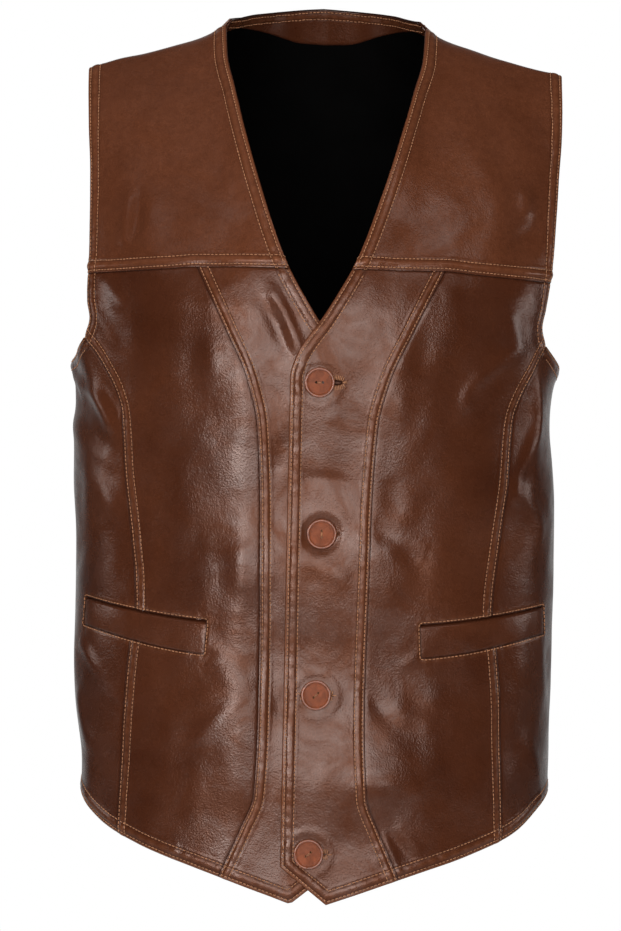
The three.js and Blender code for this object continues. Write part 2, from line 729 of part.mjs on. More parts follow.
// A round button with a raised rim and two holes, on a shank of thread that passes through the
// buttonhole down to the front underneath.
function addButton(button, number) {
  const { radius, thickness, rimWidth, recess, edge, sides } = BUTTON;
  const back = SEAM_GAP;
  const face = back + thickness;
  const shankEnd = -(LEATHER_WALL + LAP.gap - SHANK.clearance);
  const profile = [
    [0, shankEnd],
    [SHANK.radius, shankEnd],
    [SHANK.radius, back],
    [radius - edge, back],
    [radius, back + edge],
    [radius, face - edge],
    [radius - edge, face],
    [radius - rimWidth + edge, face],
    [radius - rimWidth, face - recess],
    [0, face - recess],
  ];
  const disc = new THREE.LatheGeometry(profile.map(([r, h]) => new THREE.Vector2(r, h)), sides);
  const holes = [-1, 1].map((way) => {
    const hole = new THREE.CylinderGeometry(
      BUTTON_HOLE.radius, BUTTON_HOLE.radius, 3 * thickness, BUTTON_HOLE.sides,
    );
    return hole.translate((way * BUTTON_HOLE.spacing) / 2, 0, 0).rotateY(degToRad(button.twist));
  });
  const geometry = cut(disc, holes).applyMatrix4(buttonPlace(button));
  addPiece("button_" + number, geometry, BUTTON_FINISH);
}

SIDES.forEach(addCentreFront);
SIDES.forEach(addMidFront);
SIDES.forEach(addSidePanel);
SIDES.forEach(addYoke);
SIDES.forEach(addWelt);
addBackPanel();
addBackLining();
addBackNeckFacing();
BUTTONS.forEach((button, i) => addButton(button, i + 1));

export default vest;
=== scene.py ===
"""A man's leather vest with four buttons, filled out as if it were worn, with nobody in it.

Objects are in metres, with +Z up, +X to the wearer's left and -Y to the front. The tables
below are in millimetres and degrees, and become metres as each piece is made.
"""

import math

import bpy
import numpy as np
from bpy.props import FloatProperty, FloatVectorProperty, PointerProperty
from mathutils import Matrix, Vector
from mathutils.bvhtree import BVHTree


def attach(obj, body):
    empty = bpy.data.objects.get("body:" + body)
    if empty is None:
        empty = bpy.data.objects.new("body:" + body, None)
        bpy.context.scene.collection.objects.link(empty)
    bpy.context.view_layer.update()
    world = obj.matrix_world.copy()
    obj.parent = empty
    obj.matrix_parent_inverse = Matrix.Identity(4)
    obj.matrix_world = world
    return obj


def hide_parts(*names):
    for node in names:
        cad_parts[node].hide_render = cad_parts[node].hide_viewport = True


bl_info = {
    "name": "Leather Vest",
    "version": (1, 0, 0),
    "blender": (4, 5, 0),
    "location": "3D View > Sidebar > Vest",
    "description": "Builds a buttoned leather vest with its stitching, lining and buttons",
    "category": "Object",
}

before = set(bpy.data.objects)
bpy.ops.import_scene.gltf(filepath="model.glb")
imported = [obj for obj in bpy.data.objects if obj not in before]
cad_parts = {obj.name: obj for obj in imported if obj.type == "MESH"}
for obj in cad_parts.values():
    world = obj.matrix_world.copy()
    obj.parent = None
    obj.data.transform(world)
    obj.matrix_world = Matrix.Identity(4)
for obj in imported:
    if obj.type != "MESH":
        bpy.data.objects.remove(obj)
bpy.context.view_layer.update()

MM = 0.001


def table(names, *rows):
    """A table with named columns, as one array for each column."""
    columns = np.array(rows, float).T
    return dict(zip(names.split(), columns))


# The filled-out form: half its width, and its depth in front of and behind the side line.
FORM = table(
    "z half_width front back",
    (-700, 189.5, 126, 114),
    (-604, 189.5, 125, 112),
    (-560, 189.5, 123.5, 109),
    (-500, 191, 121.8, 105),
    (-440, 190.5, 121.2, 103),
    (-380, 190, 124, 105),
    (-320, 189, 128.6, 110.5),
    (-290, 191, 130.5, 114),
    (-268, 194.5, 131.5, 116.5),
    (-235, 197, 132, 119),
    (-200, 201, 132, 121),
    (-140, 206, 132, 122),
    (-60, 207, 132, 121),
    (30, 206, 132, 120),
)
# A level cut of the form is an oval with this exponent: 2 is an ellipse, more is squarer.
ROUNDNESS = 2.4
# Above its height, each side of the form leans in towards the top of the shoulders.
FRONT_ROLL = {"start": -230, "power": 1.4}
BACK_ROLL = {"start": -170, "power": 1.5}
SHOULDER_TOP = table(
    "x z",
    (0, 95),
    (30, 80),
    (54, 47),
    (70, 18),
    (80.5, 2),
    (90, -4.7),
    (100, -9),
    (114, -13.7),
    (150, -23.7),
    (189, -35.5),
    (215, -44),
)
NECK_POINT_X = 80.5

# Cut lines of one half, as distance from the centre at each height.
FRONT_EDGE = table(
    "z x",
    (-700, -22),
    (-282, -22),
    (-270, -19),
    (-230, 6),
    (-190, 28),
    (-140, 46),
    (-100, 58.5),
    (-58, 70.5),
    (-25, 78.5),
    (2, 80.5),
)
PRINCESS_SEAM = table(
    "z x",
    (-665, 69),
    (-629, 53),
    (-604, 43.5),
    (-540, 41),
    (-400, 42.5),
    (-320, 46.5),
    (-284, 55),
    (-245, 73),
    (-199, 95),
)
SIDE_FRONT_SEAM = table(
    "z x",
    (-634, 150),
    (-580, 147.5),
    (-525, 145.5),
    (-490, 142.5),
    (-461, 138.5),
    (-410, 143),
    (-360, 149),
    (-312, 152),
    (-294, 157.5),
    (-270, 170),
    (-253, 180.5),
)
FRONT_ARMHOLE = table(
    "z x",
    (-253, 180.5),
    (-238, 177.5),
    (-225, 180),
    (-200, 182),
    (-140, 184),
    (-100, 186),
    (-57, 188),
    (-35.5, 189),
)
BACK_ARMHOLE = table(
    "z x",
    (-266.9, 193.3),
    (-262, 190),
    (-252, 184),
    (-238, 180),
    (-200, 181),
    (-140, 182),
    (-100, 184),
    (-57, 187),
    (-35.5, 189),
)
SIDE_SEAM_TURN = 97

# Cut lines that run across, as height at each distance from the centre.
HEM_POINT = (13.8, -686.5)
FRONT_CORNER = (-22, -658)
FRONT_HEM = table(
    "x z",
    (13.8, -686.5),
    (69, -667),
    (148, -638.5),
    (163, -630.5),
    (184, -612),
    (189.5, -606.5),
)
HEM_WIDTH = 189.5
BACK_HEM = {"side": -606.5, "centre": -608, "centre_turn": 150}
FRONT_YOKE_SEAM = table(
    "x z",
    (0, -198.5),
    (96, -198.5),
    (117, -200.2),
    (147, -201.8),
    (182, -203.2),
)
BACK_YOKE_LEVEL = -200
ARMHOLE_BOTTOM = table(
    "x z",
    (180.5, -253),
    (188, -262),
    (194.5, -268.6),
)
CHEST_LINE = table(
    "turn z",
    (0, -262),
    (40, -258),
    (66, -253),
)
BACK_CHEST = {"z": -262, "level_turn": 130}
BACK_NECK_EDGE = table(
    "x z",
    (0, 23.5),
    (30, 20.5),
    (54, 16),
    (70, 10),
    (78, 6),
    (80.5, 2),
)
FACING_EDGE = table(
    "x z",
    (0, -4.2),
    (20, -3.6),
    (35, -0.5),
    (46, 2),
    (61, 3.5),
    (71, 2.8),
    (80.5, -1.5),
    (91, -7.2),
    (100, -10.2),
    (114, -15),
    (150, -25),
    (189, -36.8),
)
FACING_END_X = 91

# The pocket windows slant up towards the sides.
POCKET_BOTTOM = table(
    "turn z",
    (0, -501),
    (22, -496.4),
    (70, -478),
    (97, -475),
    (180, -475),
)
POCKET_TOP = table(
    "turn z",
    (0, -474),
    (22, -470.2),
    (70, -456),
    (97, -453),
    (180, -453),
)
POCKET = {"inner_x": 83, "outer_x": 180.5, "middle_z": -474, "level": 1.5}

# Where the fronts lap, the wearer's right front passes under the left one.
LAP = {"sink": 2.9, "full": 28, "none": 58, "start_z": -200, "full_z": -245}

# The largest folds and hollows, which the solids have too. turn is over 0 on the wearer's
# left, and lean is the tilt of a fold's length from upright.
FOLDS = table(
    "turn z lean length width height",
    (88, -300, 0, 38, 38, -5.5),
    (-88, -328, 0, 62, 38, 4.5),
    (-88, -596, 0, 38, 45, -7.5),
    (66, -238, 0, 36, 28, -4.5),
    (-66, -240, 0, 40, 28, 4),
    (63, -84, 0, 60, 30, 3),
    (-63, -110, 0, 45, 30, -1.8),
    (-60, -303, -35, 38, 13, 3),
    (62, -322, 14, 48, 13, 3),
    (-72, -350, -55, 42, 14, 2),
    (-44, -160, 15, 30, 17, -2.5),
    (48, -148, -15, 28, 16, -2),
    (17, -182, 60, 26, 15, -1.5),
    (125, -300, 38, 62, 17, -3.5),
    (-128, -312, -42, 56, 16, -3),
    (158, -408, 84, 70, 15, -3),
    (-152, -436, -80, 76, 16, -3.5),
    (172, -470, 88, 60, 14, 2.5),
    (112, -520, 12, 70, 18, 2.5),
    (-116, -500, -10, 66, 18, -2.5),
)
# On the body of the vest, one degree of turn is about so many millimetres.
MM_PER_DEGREE = 2.8
# Softer folds that only the cloth has: buckles across the closed front, long folds down the
# fronts and the places where the chest and yokes swell towards the light.
SOFT_FOLDS = table(
    "turn z lean length width height",
    (0, -432, 90, 58, 40, 4.2),
    (11, -520, 90, 46, 38, -3.8),
    (-14, -540, 68, 42, 34, 2.6),
    (11, -588, 90, 42, 22, 1.9),
    (6, -640, 90, 42, 24, -1.5),
    (-13, -400, 0, 110, 22, 2.2),
    (-30, -215, 0, 26, 24, 1.0),
    (31, -212, 0, 26, 24, 1.3),
    (27, -425, 0, 30, 16, 1.6),
    (-19, -590, 30, 60, 22, 1.2),
    (21, -555, -10, 40, 14, -1.2),
)

# Smaller creases, each a soft ridge or trough along a bent line between two places.
CREASES = table(
    "turn_a z_a turn_b z_b bend width height",
    # The fold beside the under front's neck edge.
    (-7.9, -214, -2.6, -264, 2, 5.5, 2.4),
    (-10.4, -220, -4.6, -266, 2, 5, -1.3),
    (-7.1, -406, -6.5, -440, 0, 6, 0.9),
    (-5.1, -529, -4.7, -543, 0, 5, -0.9),
    (-5.2, -329, -6.4, -355, 0, 6, -0.8),
    # Under the wearer's right arm and down the side.
    (-89.7, -271, -63.1, -298, -2, 5, 2),
    (-63.1, -298, -54.0, -325, 2, 6, 2.2),
    (-89.7, -279, -74.3, -294, 0, 4, 1.2),
    (-58.4, -288, -51.6, -314, 0, 7, -1.5),
    (-89.7, -316, -53.9, -352, 0, 9, 2),
    (-62.2, -357, -51.3, -393, 0, 10, 1.4),
    (-72.9, -493, -59.6, -515, 4, 5, 1.6),
    (-73.9, -531, -62.5, -574, -6, 9, 2),
    # The right yoke and chest.
    (-43.1, -140, -45.7, -182, 0, 7, 2.6),
    (-40.2, -144, -42.1, -178, 0, 6, -1.8),
    (-54.5, -205, -46.9, -231, 0, 7, 1.6),
    (-58.3, -234, -50.8, -259, 0, 5, 1),
    (-37.6, -73, -32.2, -124, 0, 15, -0.7),
    (-22.5, -251, -20.6, -286, 0, 9, 0.7),
    # The right front, above and below the pocket.
    (-24.7, -567, -14.0, -534, 0, 8, 0.9),
    (-20.3, -500, -10.5, -524, 0, 8, 0.9),
    (-34.1, -533, -22.8, -516, 0, 12, -0.8),
    (-13.6, -410, -12.9, -448, 0, 10, 1.2),
    (-21.7, -486, -16.2, -498, 0, 5, 0.6),
    (-49.5, -426, -38.1, -437, 0, 10, -0.6),
    # The left yoke and chest.
    (14.6, -164, 12.6, -194, 0, 9, -1.1),
    (46.3, -129, 47.9, -152, 0, 8, 2.6),
    (42.5, -177, 53.5, -160, 0, 9, -2.2),
    (29.5, -68, 32.3, -125, 0, 15, 0.8),
    (25.2, -203, 26.7, -220, 0, 8, 0.9),
    (44.4, -228, 49.6, -258, 0, 6, 1.2),
    (49.6, -258, 33.0, -290, -4, 6, 1.5),
    (33.0, -290, 32.5, -306, 0, 5, 1.1),
    (20.3, -254, 19.2, -280, 0, 9, -1),
    (16.2, -296, 15.1, -323, 0, 8, 0.9),
    (13.7, -358, 15.0, -389, 0, 8, -0.9),
    # The left side.
    (60.5, -277, 62.6, -314, 0, 4.5, 1.8),
    (62.6, -314, 52.2, -358, 0, 6, 1.8),
    (52.2, -358, 51.9, -378, 0, 6, 1.2),
    (50.9, -365, 66.6, -405, 6, 9, 1.4),
    (66.5, -452, 73.5, -531, -5, 10, 1.2),
    (56.4, -556, 72.3, -609, 5, 9, 1),
    # The left front.
    (9.7, -394, 20.7, -421, 0, 7, -1.4),
    (12.6, -413, 22.7, -414, 3, 8, 1),
    (20.9, -494, 17.0, -505, 0, 5, 0.6),
    (30.8, -482, 27.2, -544, 0, 14, -0.8),
    (-1.9, -359, 5.8, -364, 1, 5, -0.8),
    (-1.4, -419, 5.0, -439, 0, 8, 1.1),
    (-1.1, -484, 5.8, -494, 0, 10, -0.6),
    (-1.0, -562, 6.6, -552, 0, 9, 0.6),
    (8.5, -517, 16.3, -551, 0, 7, -1.3),
    (15.5, -539, 25.4, -552, 3, 8, 1),
    (6.0, -596, 23.6, -597, 4, 9, 0.9),
    # Fine pulls where the left princess seam meets the hem.
    (13.6, -633, 17.7, -661, 0, 3.5, 0.7),
    (14.9, -630, 20.6, -653, 0, 3.5, -0.6),
    (16.5, -627, 23.1, -646, 0, 3.5, 0.5),
    # The back: pulls from the armholes and soft folds across the waist.
    (108, -285, 138, -345, 6, 8, 1.6),
    (104, -300, 122, -350, 4, 6, -1.2),
    (-106, -280, -134, -338, -6, 8, 1.6),
    (-103, -305, -118, -352, -3, 6, -1.2),
    (140, -396, 176, -408, 5, 8, 1.5),
    (-138, -408, -172, -420, 5, 9, 1.4),
    (150, -428, -170, -436, -6, 9, -1.3),
    (128, -452, 158, -462, 4, 7, 1.2),
    (-124, -474, -150, -462, -4, 8, 1.2),
    (148, -120, 166, -170, 0, 12, -1),
    (-150, -130, -164, -178, 0, 12, -1),
    (118, -540, 124, -596, 3, 10, 1.2),
    (-136, -548, -130, -600, 3, 10, 1.1),
)
# The slight unevenness of the leather is a sum of so many waves, of lengths picked at random.
WAVES = {"count": 26, "shortest": 20, "longest": 90, "height": 0.6, "seed": 11}

# Buttons, from the neck down. twist turns the line through the two holes, and the buttonhole
# runs from left to right of the button's middle, open by its gape.
BUTTONS = table(
    "x z twist left right gape",
    (0.8, -285.8, 0, -9, 21.5, 2.6),
    (4.7, -401.9, 90, -14, 16.5, 1.0),
    (2.9, -525.8, 45, -15, 16, 1.2),
    (-0.3, -647.5, 40, -13.5, 18.3, 1.1),
)
BUTTON_PROFILE = table(
    "radius height",
    (0, 0.3),
    (9.4, 0.3),
    (10.6, 0.6),
    (11.3, 1.3),
    (11.55, 2.2),
    (11.45, 3.0),
    (11.15, 3.55),
    (10.85, 3.76),
    (10.3, 3.8),
    (9.95, 3.62),
    (9.5, 3.0),
    (9.1, 2.45),
    (8.7, 2.2),
    (7.9, 2.2),
    (4, 2.6),
    (0, 2.7),
)
BUTTON_HOLES = {"radius": 1.0, "spacing": 5.0, "sides": 20}
BUTTON_SIDES = 72
# A button presses the front in under it, and the leather rises in a ring round it.
BUTTON_PRESS = {"radius": 14, "depth": 0.7, "ring": 17, "ring_width": 3, "ring_height": 0.4}
# Two strands of thread cross a button's face between its holes, so far apart and so high.
BUTTON_THREAD = {"radius": 0.28, "apart": 0.6, "height": 2.95, "down": 2.6}
# The dish of the button starts at this row of its profile.
DISH_START = 11
# The slit of a buttonhole ends this far short of its worked end.
BUTTONHOLE_BAR = 3.4
BUTTONHOLE_STITCHES = {"spacing": 1.2, "radius": 0.34}
# Each layer of those stitches: how far out from the slit it starts and stops, and its height.
BUTTONHOLE_LAYERS = ((-0.4, 2.8, 0.35), (2.5, 3.2, 0.15))

# A stitch is a tube of four rings: their places along it, and their width and bow in radii.
THREAD_RINGS = table(
    "share width bow",
    (0, 0.5, -0.35),
    (0.24, 1, 0.35),
    (0.76, 1, 0.35),
    (1, 0.5, -0.35),
)
THREAD_SIDES = 6

# How each kind of edge is worked: the roll at the edge, the raised turning and the puff
# between its two rows of stitches.
WORKED_EDGES = {
    "turned": {"roll": 0.9, "reach": 0.7, "rise": 0.32, "puff": 0.42, "groove": 0.45},
    "lapped": {"roll": 0.4, "reach": 0.5, "rise": 0.35, "puff": 0.32, "groove": 0.4},
    "yoke": {"roll": 0.5, "reach": 0.5, "rise": 0.4, "puff": 0.78, "groove": 0.42},
    "under": {"roll": 0.45, "reach": 1.0, "rise": 0, "puff": 0, "groove": 0},
    "window": {"roll": 0.25, "reach": 0.5, "rise": 0.1, "puff": 0, "groove": 0.3},
}
# The thread gathers the leather between the rows into small waves, which drift along it.
GATHERS = {"height": 0.13, "length": 9.5, "drift": 17, "width": 5}
# How far in from its edge each row of stitches lies, where it isn't a turned edge.
PRINCESS_ROWS = (2.0, 8.0)
SIDE_FRONT_ROWS = (2.0, 8.5)
NECK_ROWS = (2.3, 8.0)
WINDOW_ROW = 1.3

# How much paler than the rest these pieces are drawn.
PALER = {"centre_front": 0.25, "yoke": 0.7, "welt": 0.08}
# In the looks, each side of a seam is drawn in by so much.
HALF_GAP = 0.03
SIDES = (("right", -1), ("left", 1))


def lerp(start, end, share):
    return start + (end - start) * share


def smoothstep(value, start, end):
    share = np.clip((value - start) / (end - start), 0, 1)
    return share * share * (3 - 2 * share)


def curve(rows, source, target):
    """A smooth curve through the rows of a table that never passes beyond them."""
    order = np.argsort(rows[source])
    places = rows[source][order]
    values = rows[target][order]
    run = np.diff(places)
    rate = np.diff(values) / run
    before = rate[:-1]
    after = rate[1:]
    same_way = before * after > 0
    early = 2 * run[1:] + run[:-1]
    late = run[1:] + 2 * run[:-1]
    steepness = early / np.where(same_way, before, 1) + late / np.where(same_way, after, 1)
    middle = np.where(same_way, (early + late) / steepness, 0)
    slopes = np.concatenate([rate[:1], middle, rate[-1:]])

    def read(at):
        at = np.clip(at, places[0], places[-1])
        i = np.clip(np.searchsorted(places, at) - 1, 0, len(places) - 2)
        step = run[i]
        t = (at - places[i]) / step
        start = values[i] * (1 + 2 * t) + step * slopes[i] * t
        end = values[i + 1] * (3 - 2 * t) - step * slopes[i + 1] * (1 - t)
        return start * (1 - t) ** 2 + end * t**2

    return read


half_width = curve(FORM, "z", "half_width")
front_depth = curve(FORM, "z", "front")
back_depth = curve(FORM, "z", "back")
shoulder_top = curve(SHOULDER_TOP, "x", "z")
front_edge = curve(FRONT_EDGE, "z", "x")
princess_seam = curve(PRINCESS_SEAM, "z", "x")
side_front_seam = curve(SIDE_FRONT_SEAM, "z", "x")
front_armhole = curve(FRONT_ARMHOLE, "z", "x")
back_armhole = curve(BACK_ARMHOLE, "z", "x")
front_hem = curve(FRONT_HEM, "x", "z")
front_yoke_seam = curve(FRONT_YOKE_SEAM, "x", "z")
armhole_bottom = curve(ARMHOLE_BOTTOM, "x", "z")
chest_line = curve(CHEST_LINE, "turn", "z")
back_neck_edge = curve(BACK_NECK_EDGE, "x", "z")
facing_edge = curve(FACING_EDGE, "x", "z")
pocket_bottom = curve(POCKET_BOTTOM, "turn", "z")
pocket_top = curve(POCKET_TOP, "turn", "z")


def form_x(turn, width):
    """Distance from the centre. turn goes round from 0 at the centre front to 180 behind."""
    sine = np.sin(np.radians(turn))
    return width * np.sign(sine) * np.abs(sine) ** (2 / ROUNDNESS)


def turn_at(x, z):
    share = np.minimum(1, np.abs(x) / half_width(z))
    return np.sign(x) * np.degrees(np.arcsin(share ** (ROUNDNESS / 2)))


def roll_in(x, z, roll):
    """How much of its depth the form keeps towards the shoulder: 1 below, 0 on top."""
    rise = (z - roll["start"]) / (shoulder_top(np.abs(x)) - roll["start"])
    return (1 - np.clip(rise, 0, 1) ** roll["power"]) ** (1 / roll["power"])


def form_point(turn, z):
    cosine = np.cos(np.radians(turn))
    x = form_x(turn, half_width(z))
    reach = np.abs(cosine) ** (2 / ROUNDNESS)
    front = -front_depth(z) * reach * roll_in(x, z, FRONT_ROLL)
    back = back_depth(z) * reach * roll_in(x, z, BACK_ROLL)
    return np.stack([x, np.where(cosine > 0, front, back), z + 0 * x], -1)


def unit(vectors):
    return vectors / np.maximum(np.linalg.norm(vectors, axis=-1, keepdims=True), 1e-9)


def form_normal(turn, z):
    """The way out of the form. On the shoulder seam it is square to the seam."""
    step = 0.02
    across = form_point(turn + step, z) - form_point(turn - step, z)
    up = form_point(turn, z) - form_point(turn, z - step)
    normal = unit(np.cross(across, up))
    x = form_x(turn, half_width(z))
    distance = np.abs(x)
    slope = (shoulder_top(distance + 1) - shoulder_top(distance - 1)) / 2
    on_top = unit(np.stack([-slope * np.sign(x), 0 * x, 1 + 0 * x], -1))
    at_seam = z > shoulder_top(distance) - step
    return np.where(at_seam[..., None], on_top, normal)


def turns_between(turn, other):
    """Cloth millimetres round the form from one turn to another, the short way."""
    return ((turn - other + 180) % 360 - 180) * MM_PER_DEGREE


def fold_height(folds, turn, z):
    height = np.zeros_like(z)
    for fold in zip(*folds.values()):
        place, level, lean, length, width, rise = fold
        lean = math.radians(lean)
        over = turns_between(turn, place)
        above = z - level
        along = (over * math.sin(lean) + above * math.cos(lean)) / length
        across = (over * math.cos(lean) - above * math.sin(lean)) / width
        height += rise * np.exp(-along * along - across * across)
    return height


def crease_height(points):
    """Ridges and troughs that follow bent lines over the form, and fade out at both ends."""
    height = np.zeros(points.shape[:-1])
    share = np.linspace(0, 1, 11)
    for turn_a, z_a, turn_b, z_b, bend, width, rise in zip(*CREASES.values()):
        turn = turn_a + share * ((turn_b - turn_a + 180) % 360 - 180)
        z = lerp(z_a, z_b, share)
        path = form_point(turn, z)
        sideways = unit(np.cross(form_normal(turn, z), np.gradient(path, axis=0)))
        path += 4 * bend * (share * (1 - share))[:, None] * sideways
        low = path.min(0) - 3 * width
        high = path.max(0) + 3 * width
        near = ((points > low) & (points < high)).all(-1)
        if not near.any():
            continue
        distance, along = distance_to(points[near], path)
        done = along / np.linalg.norm(np.diff(path, axis=0), axis=1).sum()
        fade = 0.3 + 0.7 * np.sqrt(np.clip(4 * done * (1 - done), 0, 1))
        height[near] += rise * fade * np.exp(-((distance / width) ** 2))
    return height


def wave_height(points):
    """The slight unevenness of hanging leather: a sum of long, shallow waves."""
    chance = np.random.default_rng(WAVES["seed"])
    height = np.zeros(points.shape[:-1])
    for _ in range(WAVES["count"]):
        length = chance.uniform(WAVES["shortest"], WAVES["longest"])
        way = unit(chance.normal(size=3) * (1, 1, 0.6))
        start = chance.uniform(0, 2 * math.pi)
        share = length / WAVES["longest"] / math.sqrt(WAVES["count"] / 2)
        height += share * np.sin(points @ way * (2 * math.pi / length) + start)
    return height * WAVES["height"]


def small_relief(points, turn, z):
    """Soft folds, waves and creases. They die down at each button, which presses the front."""
    height = wave_height(points) + crease_height(points) + fold_height(SOFT_FOLDS, turn, z)
    in_front = points[..., 1] < 0
    for x, level in zip(BUTTONS["x"], BUTTONS["z"]):
        distance = np.hypot(points[..., 0] - x, points[..., 2] - level)
        pressed = in_front * np.exp(-((distance / BUTTON_PRESS["radius"]) ** 2))
        height = height * (1 - pressed) - BUTTON_PRESS["depth"] * pressed
        off_ring = (distance - BUTTON_PRESS["ring"]) / BUTTON_PRESS["ring_width"]
        height += BUTTON_PRESS["ring_height"] * in_front * np.exp(-(off_ring**2))
    return height


def lap_sink(side, turn, x, z):
    """How far the wearer's right front sinks to pass under the left one."""
    near = smoothstep(LAP["none"] - x, 0, LAP["none"] - LAP["full"])
    low = smoothstep(LAP["start_z"] - z, 0, LAP["start_z"] - LAP["full_z"])
    return np.where((side < 0) & (np.abs(turn) <= 90), LAP["sink"] * near * low, 0)


def hem_level(turn):
    x = form_x(turn, HEM_WIDTH)
    share = (HEM_POINT[0] - x) / (HEM_POINT[0] - FRONT_CORNER[0])
    cut_away = lerp(HEM_POINT[1], FRONT_CORNER[1], share)
    front = np.where(x > HEM_POINT[0], front_hem(x), cut_away)
    behind = smoothstep(turn, 90, BACK_HEM["centre_turn"])
    return np.where(turn > 90, lerp(BACK_HEM["side"], BACK_HEM["centre"], behind), front)


def chest_level(turn):
    widest = ARMHOLE_BOTTOM["x"][-1]
    corner_turn = turn_at(ARMHOLE_BOTTOM["x"][0], ARMHOLE_BOTTOM["z"][0])
    bottom = armhole_bottom(form_x(turn, widest))
    at_seam = armhole_bottom(form_x(SIDE_SEAM_TURN, widest))
    share = smoothstep(turn, SIDE_SEAM_TURN, BACK_CHEST["level_turn"])
    behind = np.where(turn < SIDE_SEAM_TURN, bottom, lerp(at_seam, BACK_CHEST["z"], share))
    return np.where(turn < corner_turn, chest_line(np.maximum(turn, 0)), behind)


def yoke_level(turn):
    x = np.maximum(form_x(turn, half_width(BACK_YOKE_LEVEL)), 0)
    return np.where(turn < 90, front_yoke_seam(x), BACK_YOKE_LEVEL)


def top_level(turn):
    x = np.abs(form_x(turn, half_width(0)))
    neck = np.where(turn < 90, shoulder_top(NECK_POINT_X), back_neck_edge(x))
    return np.where(x > NECK_POINT_X, shoulder_top(x), neck)


def facing_level(turn):
    return facing_edge(np.abs(form_x(turn, half_width(0))))


# The levels that rows of the cloth follow: 0 hem, 1 pocket bottom, 2 pocket top, 3 chest line
# and armhole bottom, 4 yoke seam, and above it the shoulder. Behind, 5 is the facing's edge.
LEVELS = (hem_level, pocket_bottom, pocket_top, chest_level, yoke_level, top_level)
BACK_LEVELS = LEVELS[:5] + (facing_level, top_level)


def height_at(levels, turn, level):
    around = np.where(turn > 180, 360 - turn, turn)
    heights = np.stack([line(around) for line in levels])
    band = np.clip(np.floor(level).astype(int), 0, len(levels) - 2)
    low = np.take_along_axis(heights, band[None], 0)[0]
    high = np.take_along_axis(heights, band[None] + 1, 0)[0]
    return lerp(low, high, level - band)


def turn_on_line(level, line, behind=False):
    """The turn at which each level meets a cut line that gives x at each height."""
    turn = np.full_like(level, 120.0 if behind else 30.0)
    for _ in range(60):
        z = height_at(BACK_LEVELS if behind else LEVELS, turn, level)
        found = turn_at(line(z), z)
        turn = (turn + (180 - found if behind else found)) / 2
    return turn


def turns_along(line):
    """A function that gives the turn at which each level meets a cut line."""

    def read(level):
        return turn_on_line(level, line)

    return read


front_edge_turn = turns_along(front_edge)
princess_turn = turns_along(princess_seam)
side_front_turn = turns_along(side_front_seam)
front_armhole_turn = turns_along(front_armhole)


def mid_front_outer_turn(level):
    return np.where(level > 3, front_armhole_turn(level), side_front_turn(level))


def side_seam_turn(level):
    return np.full_like(level, float(SIDE_SEAM_TURN))


def back_edge_turn(level):
    return np.where(level > 3, turn_on_line(level, back_armhole, True), SIDE_SEAM_TURN)


def other_back_edge_turn(level):
    return 360 - back_edge_turn(level)


def one(value):
    return np.array([float(value)])


WINDOW_INNER = turn_at(POCKET["inner_x"], POCKET["middle_z"])
WINDOW_OUTER = turn_at(POCKET["outer_x"], POCKET["middle_z"])
POCKET_PRINCESS = princess_turn(one(POCKET["level"]))[0]
POCKET_SIDE_FRONT = side_front_turn(one(POCKET["level"]))[0]
MID_WINDOW_SHARE = (WINDOW_INNER - POCKET_PRINCESS) / (POCKET_SIDE_FRONT - POCKET_PRINCESS)
SIDE_WINDOW_SHARE = (WINDOW_OUTER - POCKET_SIDE_FRONT) / (SIDE_SEAM_TURN - POCKET_SIDE_FRONT)


def marks(length, coarse, *focuses, fine=0.9):
    """Places from 0 to a length, close together in each focus and wider apart away from it."""
    places = [0.0]
    while places[-1] < length:
        here = places[-1]
        away = min((max(low - here, here - high, 0) for low, high in focuses), default=length)
        places.append(here + min(coarse, fine + 0.22 * away))
    return np.array(places) * (length / places[-1])


def rows_of(first, *bands):
    """Levels from the first one up. Each band gives its length, its spacing and its focuses."""
    rows = [first + i + marks(*band)[:-1] / band[0] for i, band in enumerate(bands)]
    return np.append(np.concatenate(rows), first + len(bands))


def lengths_along(line):
    """How far along a line of points each of its points is."""
    steps = np.linalg.norm(np.diff(line, axis=0), axis=1)
    return np.concatenate([[0], np.cumsum(steps)])


def distance_to(points, line):
    """How far each point is from a line of points, and how far along the line that is."""
    steps = np.diff(line, axis=0)
    lengths = np.linalg.norm(steps, axis=1)
    starts = np.concatenate([[0], np.cumsum(lengths)])
    squared = np.maximum(lengths**2, 1e-9)
    distance = np.empty(len(points))
    along = np.empty(len(points))
    for first in range(0, len(points), 2000):
        part = slice(first, first + 2000)
        offset = points[part, None] - line[None, :-1]
        share = np.clip((offset * steps).sum(-1) / squared, 0, 1)
        gaps = np.linalg.norm(offset - share[..., None] * steps, axis=-1)
        nearest = gaps.argmin(1)
        rows = np.arange(len(nearest))
        distance[part] = gaps[rows, nearest]
        along[part] = starts[nearest] + share[rows, nearest] * lengths[nearest]
    return distance, along


FAR = 1000.0


def near_distance(points, line, reach=18.0):
    """distance_to for the points within reach of the line. The rest are far away."""
    every = 8
    spread = np.linalg.norm(np.diff(line, axis=0), axis=1).max() * every
    rough = np.full(len(points), FAR)
    marker = np.append(line[::every], line[-1:], axis=0)
    for first in range(0, len(points), 4000):
        part = slice(first, first + 4000)
        gaps = np.linalg.norm(points[part, None] - marker[None], axis=-1)
        rough[part] = gaps.min(1)
    near = rough < reach + spread
    distance = np.full(len(points), FAR)
    along = np.zeros(len(points))
    if near.any():
        distance[near], along[near] = distance_to(points[near], line)
    return distance, along


# A row of stitches is worked out in steps of this length, and needs more steps than this.
RUN_STEP = 0.5
RUN_LEAST = 8


